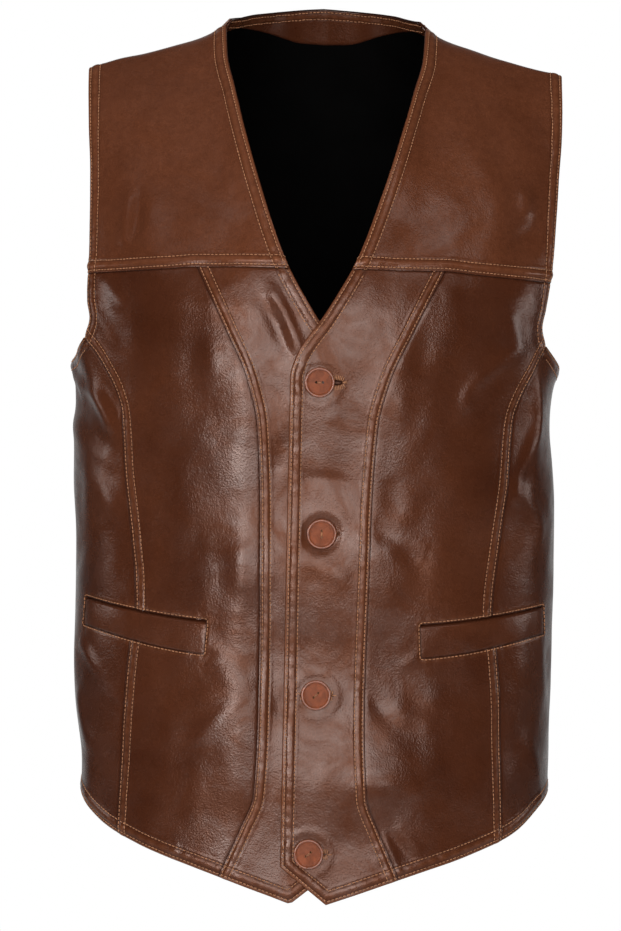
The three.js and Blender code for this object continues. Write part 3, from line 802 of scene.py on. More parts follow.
class Edge:
    """A line along a panel, with the way in from it to the cloth at each point."""

    def __init__(self, points, inwards):
        self.points = points
        self.inwards = inwards

    def part(self, kept):
        return Edge(self.points[kept], self.inwards[kept])

    def joined(self, other):
        points = np.concatenate([self.points, other.points])
        return Edge(points, np.concatenate([self.inwards, other.inwards]))

    def offset_runs(self, distance):
        """The lines that lie so far in from the edge, cut off where it turns a corner."""
        along = lengths_along(self.points)
        places = np.arange(0, along[-1], RUN_STEP)
        points = np.stack([np.interp(places, along, self.points[:, i]) for i in range(3)], -1)
        ways = np.stack([np.interp(places, along, self.inwards[:, i]) for i in range(3)], -1)
        moved = points + unit(ways) * distance
        gap, _ = near_distance(moved, self.points)
        kept = (gap > 0.96 * distance).astype(int)
        bounds = np.flatnonzero(np.diff(np.concatenate([[0], kept, [0]])))
        return [moved[a:b] for a, b in zip(bounds[::2], bounds[1::2]) if b - a > RUN_LEAST]


# What each point of a panel tells the leather: how much painted shade it gets in a seam, a
# stitch groove or an opening, how rubbed it is and how pale its piece is drawn.
SURFACE_MARKS = ("crevice", "rub", "tone")


class Panel:
    """A wall of cloth on the form: a fine grid with a row for each level and a column for each
    share of the way between its two sides."""

    def __init__(self, side, rows, shares, start, stop, levels=LEVELS, seam_shift=0.0):
        self.side = side
        self.rows = rows
        self.seam_shift = seam_shift
        self.insets = {}
        self.rows_of_stitches = []
        first = start(rows)[:, None]
        last = stop(rows)[:, None]
        turn = lerp(first, last, shares[None])
        z = height_at(levels, turn, rows[:, None] + 0 * shares)
        point = form_point(turn, z)
        normal = form_normal(turn, z)
        sink = lap_sink(side, turn, point[..., 0], z)
        point[..., 0] *= side
        normal[..., 0] *= side
        around = side * np.where(turn > 180, turn - 360, turn)
        swell = fold_height(FOLDS, around, z) + small_relief(point, around, z)
        self.z = z
        self.normal = normal
        self.surface = point + normal * (swell - sink)[..., None]
        self.relief = np.zeros_like(z)
        self.crevice = np.zeros_like(z)
        self.rub = np.zeros_like(z)
        self.tone = np.zeros_like(z)
        self.filled = np.ones((len(rows) - 1, len(shares) - 1), bool)

    def path(self, rows, columns, row_step, column_step):
        """The edge through these grid points. The steps lead to their inner neighbours."""
        rows, columns = np.broadcast_arrays(rows, columns)
        points = self.surface[rows, columns]
        inwards = self.surface[rows + row_step, columns + column_step] - points
        tangent = unit(np.gradient(points, axis=0))
        inwards = inwards - tangent * (inwards * tangent).sum(-1, keepdims=True)
        return Edge(points, unit(inwards))

    def edge(self, name, low=-1.0, high=9.0):
        """One side of the panel, or the stretch of it between two levels."""
        rows = np.flatnonzero((self.rows >= low) & (self.rows <= high))
        columns = np.arange(self.z.shape[1])
        last_row = len(self.rows) - 1
        last_column = len(columns) - 1
        paths = {
            "start": (rows, 0, 0, 1),
            "end": (rows, last_column, 0, -1),
            "bottom": (0, columns, 1, 0),
            "top": (last_row, columns, -1, 0),
        }
        return self.path(*paths[name])

    def window_edge(self, bottom, top, column, way):
        """The edge of a pocket window that reaches from a column to one side of the panel."""
        side_column = self.z.shape[1] - 1 if way > 0 else 0
        across = np.arange(side_column, column - way, -way)
        upright = np.arange(bottom, top + 1)
        low = self.path(bottom, across, -1, 0)
        inner = self.path(upright, column, 0, -way)
        high = self.path(top, across[::-1], 1, 0)
        return low.joined(inner).joined(high)

    def work(self, edge, kind, *offsets):
        """Rolls, raises and grooves the cloth along an edge, paints shade into its seam line and its
        stitch grooves, and notes its rows of stitches.
        """
        worked = WORKED_EDGES[kind]
        flat = self.surface.reshape(-1, 3)
        distance, along = near_distance(flat, edge.points)
        distance = distance.reshape(self.z.shape)
        along = along.reshape(self.z.shape)
        height = -worked["roll"] * np.exp(-distance / worked["reach"])
        # Painted shade: a dark line along the seam, where the edge isn't turned.
        crevice = 0.9 * np.exp(-distance / 0.5) * (kind != "turned")
        rub = 0.8 * np.exp(-(((distance - 0.9) / 0.7) ** 2)) * (kind == "turned")
        if offsets:
            near = offsets[0]
            far = offsets[-1]
            between = np.clip((distance - near) / max(far - near, 1), 0, 1)
            height += worked["rise"] * (1 - smoothstep(distance, far + 0.5, far + 3))
            height += worked["puff"] * np.sin(math.pi * between) ** 2
            middle = (near + far) / 2
            gather = np.exp(-(((distance - middle) / GATHERS["width"]) ** 2))
            drift = 0.8 * np.sin(along / GATHERS["drift"])
            wobble = np.sin(2 * math.pi * along / GATHERS["length"] + drift)
            height += GATHERS["height"] * gather * wobble
            rub += 0.25 * np.exp(-(((distance - middle) / 2) ** 2)) * (1 + 0.5 * wobble)
            for offset in offsets:
                groove = np.exp(-(((distance - offset) / 0.8) ** 2))
                height -= worked["groove"] * groove
                # Painted shade in the groove of each row of stitches.
                crevice += 0.55 * groove
        self.relief += height
        self.crevice += crevice
        self.rub += rub
        for offset in offsets:
            self.rows_of_stitches += edge.offset_runs(offset)

    def layer(self, depth, relief=0.0):
        """The cloth's points at a depth in from its outer face, with its edges drawn in."""
        grid = self.surface + self.normal * np.asarray(relief - depth)[..., None]
        sides = {"start": grid[:, 0], "end": grid[:, -1], "bottom": grid[0], "top": grid[-1]}
        for name, distance in self.insets.items():
            sides[name][...] += self.edge(name).inwards * distance
        grid[-1, :, 1] += self.seam_shift
        return grid

    def shell(self, depth, wall, inside=False):
        """Both faces as layers. With inside, the finished face is the one towards the wearer."""
        if inside:
            return self.layer(depth + wall, -self.relief), self.layer(depth)
        return self.layer(depth, self.relief), self.layer(depth + wall)


def shell_faces(panel, turned_over):
    """Faces of both layers and of the rim that joins them, and the number of finished ones."""
    rows, columns = panel.z.shape
    index = np.arange(rows * columns).reshape(rows, columns)
    corners = np.stack([index[:-1, :-1], index[:-1, 1:], index[1:, 1:], index[1:, :-1]], -1)
    filled = panel.filled
    outer = corners[filled]
    inner = outer[:, ::-1] + rows * columns
    rim = []
    padded = np.pad(filled, 1)
    beside = (padded[:-2, 1:-1], padded[1:-1, 2:], padded[2:, 1:-1], padded[1:-1, :-2])
    for i, neighbour in enumerate(beside):
        cells = corners[filled & ~neighbour]
        here = cells[:, i]
        after = cells[:, (i + 1) % 4]
        below = rows * columns
        rim.append(np.stack([here + below, after + below, after, here], -1))
    rim = np.concatenate(rim)
    faces = np.concatenate([outer, rim, inner])
    if (panel.side < 0) != turned_over:
        faces = faces[:, ::-1]
    return faces, len(outer) + len(rim), len(outer)


def make_object(name, points, faces, materials, slots=None, marked=None):
    """A smooth-shaded object. points are in millimetres."""
    mesh = bpy.data.meshes.new(name)
    mesh.from_pydata((points * MM).tolist(), [], [list(face) for face in faces])
    for material in materials:
        mesh.materials.append(material)
    if slots is not None:
        mesh.polygons.foreach_set("material_index", slots)
    for key, values in (marked or {}).items():
        layer = mesh.attributes.new(key, "FLOAT", "POINT")
        layer.data.foreach_set("value", values)
    mesh.shade_smooth()
    mesh.set_sharp_from_angle(angle=math.radians(62))
    mesh.update()
    obj = bpy.data.objects.new(name, mesh)
    bpy.context.scene.collection.objects.link(obj)
    return obj


def drop_unused(points, faces, marked):
    used = np.unique(faces)
    place = np.zeros(len(points), int)
    place[used] = np.arange(len(used))
    return points[used], place[faces], {key: values[used] for key, values in marked.items()}


def cloth_piece(panel, node, materials, depth, wall, inside=False):
    """Makes a panel's shell, which stands for a node of the model, and its stitching."""
    face, back = panel.shell(depth, wall, inside)
    faces, finished, shown = shell_faces(panel, inside)
    points = np.concatenate([face.reshape(-1, 3), back.reshape(-1, 3)])
    blank = np.zeros(panel.z.size)
    marked = {
        key: np.concatenate([getattr(panel, key).ravel(), blank]) for key in SURFACE_MARKS
    }
    points, faces, marked = drop_unused(points, faces, marked)
    slots = np.zeros(len(faces), int)
    slots[finished:] = len(materials) - 1
    obj = make_object("vest_" + node, points, faces, materials, slots, marked)
    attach(obj, "root")
    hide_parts(node)
    if panel.rows_of_stitches:
        surface = BVHTree.FromPolygons(points.tolist(), faces[:shown].tolist())
        stitching("stitches_" + node, panel.rows_of_stitches, surface)


def leather_piece(panel, node, depth=0, wall=None, inside=False):
    """A piece of leather, black on the side that doesn't show."""
    wall = leather_wall() if wall is None else wall
    materials = [leather_material(), lining_material()]
    cloth_piece(panel, node, materials, depth, wall, inside)


def thread_tubes(starts, ends, ups, radius):
    """A short, slightly bowed tube of thread from each start to its end."""
    way = unit(ends - starts)
    across = unit(np.cross(ups, way))
    up = np.cross(way, across)
    shares = THREAD_RINGS["share"]
    widths = THREAD_RINGS["width"] * radius
    lifts = THREAD_RINGS["bow"] * radius
    ring = np.arange(THREAD_SIDES)
    angles = ring * (2 * math.pi / THREAD_SIDES)
    middle = starts[:, None] + (ends - starts)[:, None] * shares[:, None]
    middle = middle + up[:, None] * lifts[:, None]
    spread = across[:, None, None] * np.cos(angles)[:, None]
    spread = spread + 0.85 * up[:, None, None] * np.sin(angles)[:, None]
    points = middle[:, :, None] + spread * widths[:, None, None]
    after = (ring + 1) % THREAD_SIDES
    last = THREAD_SIDES * (len(shares) - 1)
    quad = np.stack([ring, after, after + THREAD_SIDES, ring + THREAD_SIDES], -1)
    sides = np.concatenate([quad + low for low in range(0, last, THREAD_SIDES)])
    first = THREAD_SIDES * len(shares) * np.arange(len(starts))
    quads = (first[:, None, None] + sides).reshape(-1, 4)
    caps = np.stack([ring[::-1], ring + last])
    caps = (first[:, None, None] + caps).reshape(-1, THREAD_SIDES)
    return points.reshape(-1, 3), quads.tolist() + caps.tolist()


def thread_object(name, starts, ends, ups, radius):
    points, faces = thread_tubes(starts, ends, ups, radius)
    obj = make_object(name, points, faces, [thread_material()])
    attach(obj, "root")
    return obj


def stitching(name, runs, surface):
    """Stitches along the runs, laid on a surface."""
    sizes = bpy.context.scene.vest_sizes
    pitch = sizes.stitch_pitch / MM
    gap = sizes.stitch_gap / MM
    radius = sizes.thread_width / MM / 2
    chance = np.random.default_rng(3)
    starts = []
    ends = []
    ups = []
    for run in runs:
        along = lengths_along(run)
        if along[-1] < pitch:
            continue
        count = int(round(along[-1] / pitch))
        places = np.linspace(0, along[-1], count + 1)
        # Two sets of small shifts are drawn for each run. Runs use the first and second in turn.
        slack = chance.uniform(-0.12, 0.12, (2, count))[len(starts) % 2]
        for tips, place in ((starts, places[:-1] + gap / 2), (ends, places[1:] - gap / 2)):
            spots = [np.interp(place + slack, along, run[:, i]) for i in range(3)]
            tips.append(np.stack(spots, -1))
    starts = np.concatenate(starts)
    ends = np.concatenate(ends)
    for i, (start, end) in enumerate(zip(starts, ends)):
        start_spot, up, _, _ = surface.find_nearest(Vector(start))
        end_spot, _, _, _ = surface.find_nearest(Vector(end))
        starts[i] = start_spot
        ends[i] = end_spot
        ups.append(up)
    ups = np.array(ups)
    lift = 0.35 * radius
    return thread_object(name, starts + ups * lift, ends + ups * lift, ups, radius)


def fill(tree, made, inputs):
    """Fills the inputs of a node. A socket given as an input is linked."""
    for key, value in inputs.items():
        socket = made.inputs[key]
        if isinstance(value, bpy.types.NodeSocket):
            tree.links.new(value, socket)
        else:
            socket.default_value = value


def node(tree, kind, inputs=None, **settings):
    """A shader node with its settings and inputs."""
    made = tree.nodes.new("ShaderNode" + kind)
    for key, value in settings.items():
        setattr(made, key, value)
    fill(tree, made, inputs or {})
    return made


def new_material(name):
    """An empty material: its tree, its surface shader and the place of each point."""
    material = bpy.data.materials.new(name)
    material.use_nodes = True
    tree = material.node_tree
    shader = tree.nodes["Principled BSDF"]
    place = node(tree, "TexCoord").outputs["Object"]
    return material, tree, shader, place


def noise(tree, place, scale, detail=3.0, roughness=0.5, distortion=0.0):
    inputs = {
        "Vector": place,
        "Scale": scale,
        "Detail": detail,
        "Roughness": roughness,
        "Distortion": distortion,
    }
    return node(tree, "TexNoise", inputs).outputs["Fac"]


def spread(tree, value, low, high, to_low=0.0, to_high=1.0):
    inputs = {
        "Value": value,
        "From Min": low,
        "From Max": high,
        "To Min": to_low,
        "To Max": to_high,
    }
    return node(tree, "MapRange", inputs).outputs["Result"]


def mixed(tree, share, first, second):
    """The mix of two colours. A Mix node for colours has them at sockets 6 and 7."""
    return node(tree, "Mix", {0: share, 6: first, 7: second}, data_type="RGBA").outputs[2]


def bumps(tree, *layers):
    """Bump nodes in a chain. Each layer gives a height, its depth in metres and a strength."""
    normal = None
    for height, depth, strength in layers:
        inputs = {"Height": height, "Distance": depth, "Strength": strength}
        if normal is not None:
            inputs["Normal"] = normal
        normal = node(tree, "Bump", inputs).outputs["Normal"]
    return normal


def shaded(colour, share):
    """A colour with so much of its light."""
    return tuple(share * value for value in colour[:3]) + (1,)


# Dark colours that show only in small places of the leather and the buttons. The crevice one is painted
# shade in seams, stitch grooves and openings.
SMALL_DARKS = {
    "mottle": (0.06, 0.015, 0.005, 1),
    "specks": (0.05, 0.012, 0.004, 1),
    "crevice": (0.012, 0.003, 0.002, 1),
    "flecks": (0.09, 0.025, 0.012, 1),
}


def leather_material():
    """Glazed leather: two browns that cloud into each other, fine grain, pores and rubbed
    edges, with painted shade darkening its seams, stitch grooves and openings."""
    if "vest_leather" in bpy.data.materials:
        return bpy.data.materials["vest_leather"]
    colours = bpy.context.scene.vest_colours
    material, tree, shader, place = new_material("vest_leather")
    clouds = spread(tree, noise(tree, place, 11, 4, 0.55, 0.4), 0.36, 0.66)
    mottle = spread(tree, noise(tree, place, 160, 5, 0.6), 0.32, 0.7)
    pale = node(tree, "Attribute", attribute_name="tone").outputs["Fac"]
    share = node(tree, "Math", {0: spread(tree, clouds, 0, 1, 0, 0.5), 1: pale}).outputs[0]
    tone = mixed(tree, share, tuple(colours.leather_dark), tuple(colours.leather_light))
    specks = spread(tree, noise(tree, place, 850, 3, 0.6), 0.35, 0.68)
    tone = mixed(tree, spread(tree, mottle, 0, 1, 0, 0.35), tone, SMALL_DARKS["mottle"])
    tone = mixed(tree, spread(tree, specks, 0, 1, 0, 0.42), tone, SMALL_DARKS["specks"])
    rub = node(tree, "Attribute", attribute_name="rub").outputs["Fac"]
    crevice = node(tree, "Attribute", attribute_name="crevice").outputs["Fac"]
    tone = mixed(tree, spread(tree, rub, 0, 1, 0, 0.55), tone, tuple(colours.leather_rubbed))
    # Painted shade: the crevice marks darken the seams, stitch grooves and openings.
    tone = mixed(tree, spread(tree, crevice, 0, 1, 0, 0.8), tone, SMALL_DARKS["crevice"])
    gloss = spread(tree, noise(tree, place, 48, 5, 0.6), 0.3, 0.7, 0.21, 0.34)
    glaze = spread(tree, noise(tree, place, 24, 8, 0.66, 0.7), 0.4, 0.62, 0.15, 0.95)
    cells = {"Vector": place, "Scale": 860.0}
    grain = node(tree, "TexVoronoi", cells, feature="SMOOTH_F1").outputs["Distance"]
    normal = bumps(
        tree,
        (noise(tree, place, 45, 3, 0.5, 0.3), 0.0016, 0.28),
        (noise(tree, place, 480, 4, 0.65), 0.0003, 0.34),
        (grain, 0.0003, 0.36),
    )
    looks = {
        "Base Color": tone,
        "Roughness": gloss,
        "IOR": 1.4,
        "Specular Tint": (1, 0.45, 0.28, 1),
        "Coat Weight": glaze,
        "Coat Roughness": 0.19,
        "Coat IOR": 1.45,
        "Normal": normal,
        "Coat Normal": normal,
    }
    fill(tree, shader, looks)
    return material


def lining_material():
    """Black twill: fine slanting ribs with a faint sheen. Its body is darker than black cloth is, which
    also paints the shade inside the vest.
    """
    if "vest_lining" in bpy.data.materials:
        return bpy.data.materials["vest_lining"]
    colours = bpy.context.scene.vest_colours
    material, tree, shader, place = new_material("vest_lining")
    dark = tuple(colours.lining)
    shift = spread(tree, noise(tree, place, 30, 3), 0.3, 0.7)
    tone = mixed(tree, shift, dark, shaded(dark, 1.6))
    ribs = {"Vector": place, "Scale": 900.0, "Distortion": 0.4, "Detail": 1.0}
    weave = node(tree, "TexWave", ribs, bands_direction="DIAGONAL").outputs["Fac"]
    normal = bumps(tree, (weave, 0.0001, 0.4), (noise(tree, place, 60, 3), 0.0015, 0.2))
    looks = {
        "Base Color": tone,
        "Roughness": 0.75,
        "Specular IOR Level": 0.03,
        "Normal": normal,
    }
    fill(tree, shader, looks)
    return material


def thread_material():
    """Waxed thread, with the ridges of its twist."""
    if "vest_thread" in bpy.data.materials:
        return bpy.data.materials["vest_thread"]
    colours = bpy.context.scene.vest_colours
    material, tree, shader, place = new_material("vest_thread")
    thread = tuple(colours.thread)
    shift = spread(tree, noise(tree, place, 90, 4), 0.3, 0.7)
    tone = mixed(tree, shift, shaded(thread, 0.55), thread)
    twist = {"Vector": place, "Scale": 1500.0, "Distortion": 1.0}
    ridges = node(tree, "TexWave", twist, bands_direction="DIAGONAL").outputs["Fac"]
    normal = bumps(tree, (ridges, 0.0002, 0.5))
    fill(tree, shader, {"Base Color": tone, "Roughness": 0.5, "Normal": normal})
    return material


def button_material(name, polish):
    """Horn-like resin with a clouded brown body: polished on the rim, duller in the dish."""
    if name in bpy.data.materials:
        return bpy.data.materials[name]
    colours = bpy.context.scene.vest_colours
    material, tree, shader, place = new_material(name)
    clouds = spread(tree, noise(tree, place, 120, 4, 0.6, 1.5), 0.35, 0.68)
    base = tuple(colours.button)
    tone = mixed(tree, clouds, shaded(base, 0.6), base)
    flecks = spread(tree, noise(tree, place, 900, 3), 0.55, 0.75, 0, 0.4)
    tone = mixed(tree, flecks, tone, SMALL_DARKS["flecks"])
    scuffs = spread(tree, noise(tree, place, 240, 5, 0.7), 0.35, 0.7, 0.4 - 0.2 * polish, 0.5)
    normal = bumps(tree, (noise(tree, place, 400, 4), 0.0002, 0.15))
    looks = {
        "Base Color": tone,
        "Roughness": scuffs,
        "IOR": 1.25 + 0.25 * polish,
        "Coat Weight": polish,
        "Coat Roughness": 0.08,
        "Normal": normal,
    }
    fill(tree, shader, looks)
    return material


def floor_material():
    if "stage_floor" in bpy.data.materials:
        return bpy.data.materials["stage_floor"]
    colours = bpy.context.scene.vest_colours
    material, tree, shader, place = new_material("stage_floor")
    pale = tuple(colours.floor)
    shift = spread(tree, noise(tree, place, 3, 3), 0.3, 0.7)
    tone = mixed(tree, shift, shaded(pale, 0.96), pale)
    fill(tree, shader, {"Base Color": tone, "Roughness": 0.7})
    return material


def leather_wall():
    return bpy.context.scene.vest_sizes.leather_wall / MM


def edge_rows():
    sizes = bpy.context.scene.vest_sizes
    return sizes.row_near / MM, sizes.row_far / MM


def slit_relief(panel):
    """The opening of each buttonhole, pressed into the front and darkened with painted shade, and the gape
    of the first.
    """
    for x, z, _, left, right, gape in zip(*BUTTONS.values()):
        half = (right - left) / 2 - BUTTONHOLE_BAR
        across = (panel.surface[..., 0] - x - (left + right) / 2) / half
        opening = gape * np.sqrt(np.clip(1 - across**2, 0, 1))
        beyond = smoothstep(np.abs(panel.z - z), opening - 0.6, opening + 0.5)
        inside = (np.abs(across) < 1) * (1 - beyond)
        panel.relief -= 1.7 * inside
        # Painted shade inside the opening.
        panel.crevice += 1.2 * inside


def build_centre_front(name, side):
    buttonhole_rows = ((12, 44), (146, 168)), ((60, 84), (176, 200))
    below, above = buttonhole_rows if side > 0 else ((), ())
    rows = rows_of(
        0,
        (178, 2.6, (0, 13), *below),
        (27, 2.6),
        (212, 2.6, *above),
        (62, 2.6, (57, 62)),
    )
    coarse = 1.15 if side > 0 else 2.6
    shares = marks(64, coarse, (0, 13), (53, 64)) / 64
    panel = Panel(side, rows, shares, front_edge_turn, princess_turn)
    panel.insets = {"end": HALF_GAP, "top": HALF_GAP}
    front = panel.edge("start").part(slice(None, None, -1))
    panel.work(front.joined(panel.edge("bottom")), "turned", *edge_rows())
    panel.work(panel.edge("end"), "lapped", *PRINCESS_ROWS)
    panel.work(panel.edge("top"), "under")
    if side > 0:
        slit_relief(panel)
    panel.tone += PALER["centre_front"]
    leather_piece(panel, "centre_front_" + name)


def window_rows(rows):
    """The rows at the bottom and the top of the pocket window."""
    return int(np.abs(rows - 1).argmin()), int(np.abs(rows - 2).argmin())


def build_mid_front(name, side):
    rows = rows_of(
        0,
        (158, 3.2, (0, 13), (153, 158)),
        (26, 2.0, (0, 1), (25, 26)),
        (206, 3.2, (0, 5)),
        (56, 3.2, (51, 56)),
    )
    width = 100
    inner = width * MID_WINDOW_SHARE
    first = marks(inner, 3, (0, 4), (inner - 4, inner))
    second = inner + marks(width - inner, 3, (0, 3), (width - inner - 13, width - inner))
    shares = np.concatenate([first[:-1], second]) / width
    panel = Panel(side, rows, shares, princess_turn, mid_front_outer_turn)
    panel.insets = {"start": HALF_GAP, "end": HALF_GAP, "top": HALF_GAP}
    bottom, top = window_rows(rows)
    column = len(first) - 1
    panel.filled[bottom:top, column:] = False
    panel.work(panel.edge("bottom"), "turned", *edge_rows())
    panel.work(panel.edge("end", 3), "turned", *edge_rows())
    panel.work(panel.edge("end", 0, 1), "lapped", *SIDE_FRONT_ROWS)
    panel.work(panel.edge("end", 2, 3), "lapped", *SIDE_FRONT_ROWS)
    for edge in ("start", "top"):
        panel.work(panel.edge(edge), "under")
    panel.work(panel.window_edge(bottom, top, column, 1), "window", WINDOW_ROW)
    leather_piece(panel, "mid_front_" + name)


def build_side_panel(name, side):
    rows = rows_of(
        0,
        (134, 3.2, (0, 13), (129, 134)),
        (23, 2.0, (0, 1), (22, 23)),
        (195, 3.2, (0, 5), (182, 195)),
    )
    width = 86
    outer = width * SIDE_WINDOW_SHARE
    first = marks(outer, 3, (0, 4), (outer - 3, outer))
    second = outer + marks(width - outer, 3, (0, 4), (width - outer - 4, width - outer))
    shares = np.concatenate([first[:-1], second]) / width
    panel = Panel(side, rows, shares, side_front_turn, side_seam_turn)
    panel.insets = {"start": HALF_GAP, "end": HALF_GAP}
    bottom, top = window_rows(rows)
    column = len(first) - 1
    panel.filled[bottom:top, :column] = False
    for edge in ("bottom", "top"):
        panel.work(panel.edge(edge), "turned", *edge_rows())
    for edge in ("start", "end"):
        panel.work(panel.edge(edge), "under")
    panel.work(panel.window_edge(bottom, top, column, -1), "window", WINDOW_ROW)
    leather_piece(panel, "side_panel_" + name)


def build_yoke(name, side):
    rows = rows_of(4, (215, 3.2, (0, 13), (209, 215)))
    width = 140
    shares = marks(width, 3.2, (0, 13), (width - 13, width)) / width
    panel = Panel(side, rows, shares, front_edge_turn, front_armhole_turn, seam_shift=-HALF_GAP)
    panel.insets = {"bottom": HALF_GAP}
    for edge in ("start", "end"):
        panel.work(panel.edge(edge), "turned", *edge_rows())
    panel.work(panel.edge("bottom"), "yoke", *edge_rows())
    panel.work(panel.edge("top"), "under")
    panel.tone += PALER["yoke"]
    leather_piece(panel, "yoke_" + name)


def welt_start(level):
    return lerp(princess_turn(level), side_front_turn(level), MID_WINDOW_SHARE)


def welt_stop(level):
    return lerp(side_front_turn(level), SIDE_SEAM_TURN, SIDE_WINDOW_SHARE)


# A welt swells in its middle, and its top goes behind the front above it and gets thin there.
WELT = {"swell": 0.55, "depth": 0.4, "dip": 2.4, "thin": 0.8}


def build_welt(name, side):
    """The welt fills its window, and at the mouth it dips in behind the front above it, where painted
    shade darkens its top.
    """
    rows = np.append(rows_of(1, (25, 1.6, (0, 2), (20, 25))), (2.008, 2.016, 2.024))
    shares = marks(112, 1.8, (0, 3), (109, 112)) / 112
    panel = Panel(side, rows, shares, welt_start, welt_stop)
    panel.insets = {"start": HALF_GAP, "end": HALF_GAP, "bottom": HALF_GAP}
    for edge in ("bottom", "start", "end"):
        panel.work(panel.edge(edge), "window")
    upright = np.sin(math.pi * np.clip(rows - 1, 0, 1))[:, None]
    panel.relief += WELT["swell"] * upright * np.sin(math.pi * shares) ** 0.4
    panel.tone += PALER["welt"]
    # Painted shade at the pocket mouth, where the welt goes behind the front.
    panel.crevice += 0.9 * smoothstep(rows, 1.9, 2.0)[:, None]
    depth = WELT["depth"] + WELT["dip"] * smoothstep(rows, 1.87, 2.02)[:, None] + 0 * shares
    wall = lerp(leather_wall(), WELT["thin"], smoothstep(rows, 1.85, 2.0))[:, None] + 0 * shares
    leather_piece(panel, "welt_" + name, depth, wall)


BACK_START = back_edge_turn(one(6))[0]


def back_share(x):
    """The share of the back's width at a distance from the centre, at shoulder height."""
    return (180 - turn_at(x, 0.0) - BACK_START) / (360 - 2 * BACK_START)


def build_back_panel():
    rows = rows_of(
        0,
        (131, 4.4, (0, 13)),
        (22, 4.4),
        (205, 4.4),
        (63, 4.4),
        (204, 4.4),
        (27, 2.4, (14, 27)),
    )
    width = 530
    shares = marks(width, 4.6, (0, 13), (width - 13, width)) / width
    panel = Panel(
        1, rows, shares, back_edge_turn, other_back_edge_turn, BACK_LEVELS, seam_shift=HALF_GAP
    )
    panel.insets = {"start": HALF_GAP, "end": HALF_GAP}
    panel.work(panel.edge("bottom"), "turned", *edge_rows())
    for edge in ("start", "end"):
        panel.work(panel.edge(edge, 3), "turned", *edge_rows())
        panel.work(panel.edge(edge, 0, 3), "under")
    top = panel.edge("top")
    panel.work(top.part(np.abs(top.points[:, 0]) < NECK_POINT_X), "turned", *NECK_ROWS)
    for side in (-1, 1):
        panel.work(top.part(top.points[:, 0] * side > NECK_POINT_X), "under")
    leather_piece(panel, "back_panel", 0, bpy.context.scene.vest_sizes.back_wall / MM)


def lining_depth():
    sizes = bpy.context.scene.vest_sizes
    return (sizes.back_wall + sizes.lining_gap) / MM


def build_back_lining():
    rows = rows_of(0, (131, 5), (22, 5), (205, 5), (63, 5), (204, 5))
    shares = marks(530, 5) / 530
    panel = Panel(1, rows, shares, back_edge_turn, other_back_edge_turn, BACK_LEVELS)
    panel.insets = {"start": 1, "end": 1, "bottom": 1, "top": HALF_GAP}
    wall = bpy.context.scene.vest_sizes.lining_wall / MM
    materials = [lining_material()]
    cloth_piece(panel, "back_lining", materials, lining_depth(), wall, inside=True)


def build_neck_facing():
    rows = rows_of(5, (27, 1.6, (14, 27)))
    end = back_share(FACING_END_X)
    shares = lerp(end, 1 - end, marks(200, 2.6, (0, 4), (196, 200)) / 200)
    panel = Panel(1, rows, shares, back_edge_turn, other_back_edge_turn, BACK_LEVELS)
    panel.insets = {"bottom": HALF_GAP, "top": 0.5}
    top = panel.edge("top")
    panel.work(top.part(np.abs(top.points[:, 0]) < NECK_POINT_X), "window", *NECK_ROWS)
    panel.work(panel.edge("bottom"), "window")
    wall = bpy.context.scene.vest_sizes.lining_wall / MM
    leather_piece(panel, "back_neck_facing", lining_depth(), wall, inside=True)


def button_frame(x, z):
    """The middle of a button on the left front, and its three axes: across, out and down."""
    turn = turn_at(one(x), one(z))
    level = one(z)
    out = form_normal(turn, level)[0]
    across = unit(np.array([1.0, 0, 0]) - out[0] * out)
    swell = fold_height(FOLDS, turn, level)[0]
    return form_point(turn, level)[0] + out * swell, np.stack([across, out, np.cross(across, out)])


def lathe(profile, sides):
    """A turned body from a profile of radii and heights, closed at its middle."""
    radii = profile["radius"][1:-1]
    heights = profile["height"][1:-1]
    angles = np.arange(sides) * (2 * math.pi / sides)
    x = radii[:, None] * np.cos(angles)
    z = radii[:, None] * np.sin(angles)
    rings = np.stack([x, heights[:, None] + 0 * angles, z], -1)
    ring = np.arange(sides)
    after = (ring + 1) % sides
    faces = []
    for low in range(0, (len(radii) - 1) * sides, sides):
        high = low + sides
        faces += np.stack([ring + low, ring + high, after + high, after + low], -1).tolist()
    faces.append(ring.tolist())
    faces.append((ring[::-1] + (len(radii) - 1) * sides).tolist())
    return rings.reshape(-1, 3), faces


def cut_holes(body, tools):
    """Cuts each tool out of the body, and removes the tools."""
    for tool in tools:
        modifier = body.modifiers.new("hole", "BOOLEAN")
        modifier.object = tool
        modifier.operation = "DIFFERENCE"
        modifier.solver = "EXACT"
    bpy.context.view_layer.update()
    graph = bpy.context.evaluated_depsgraph_get()
    made = bpy.data.meshes.new_from_object(body.evaluated_get(graph))
    body.modifiers.clear()
    body.data = made
    made.shade_smooth()
    made.set_sharp_from_angle(angle=math.radians(40))
    for tool in tools:
        bpy.data.objects.remove(tool)


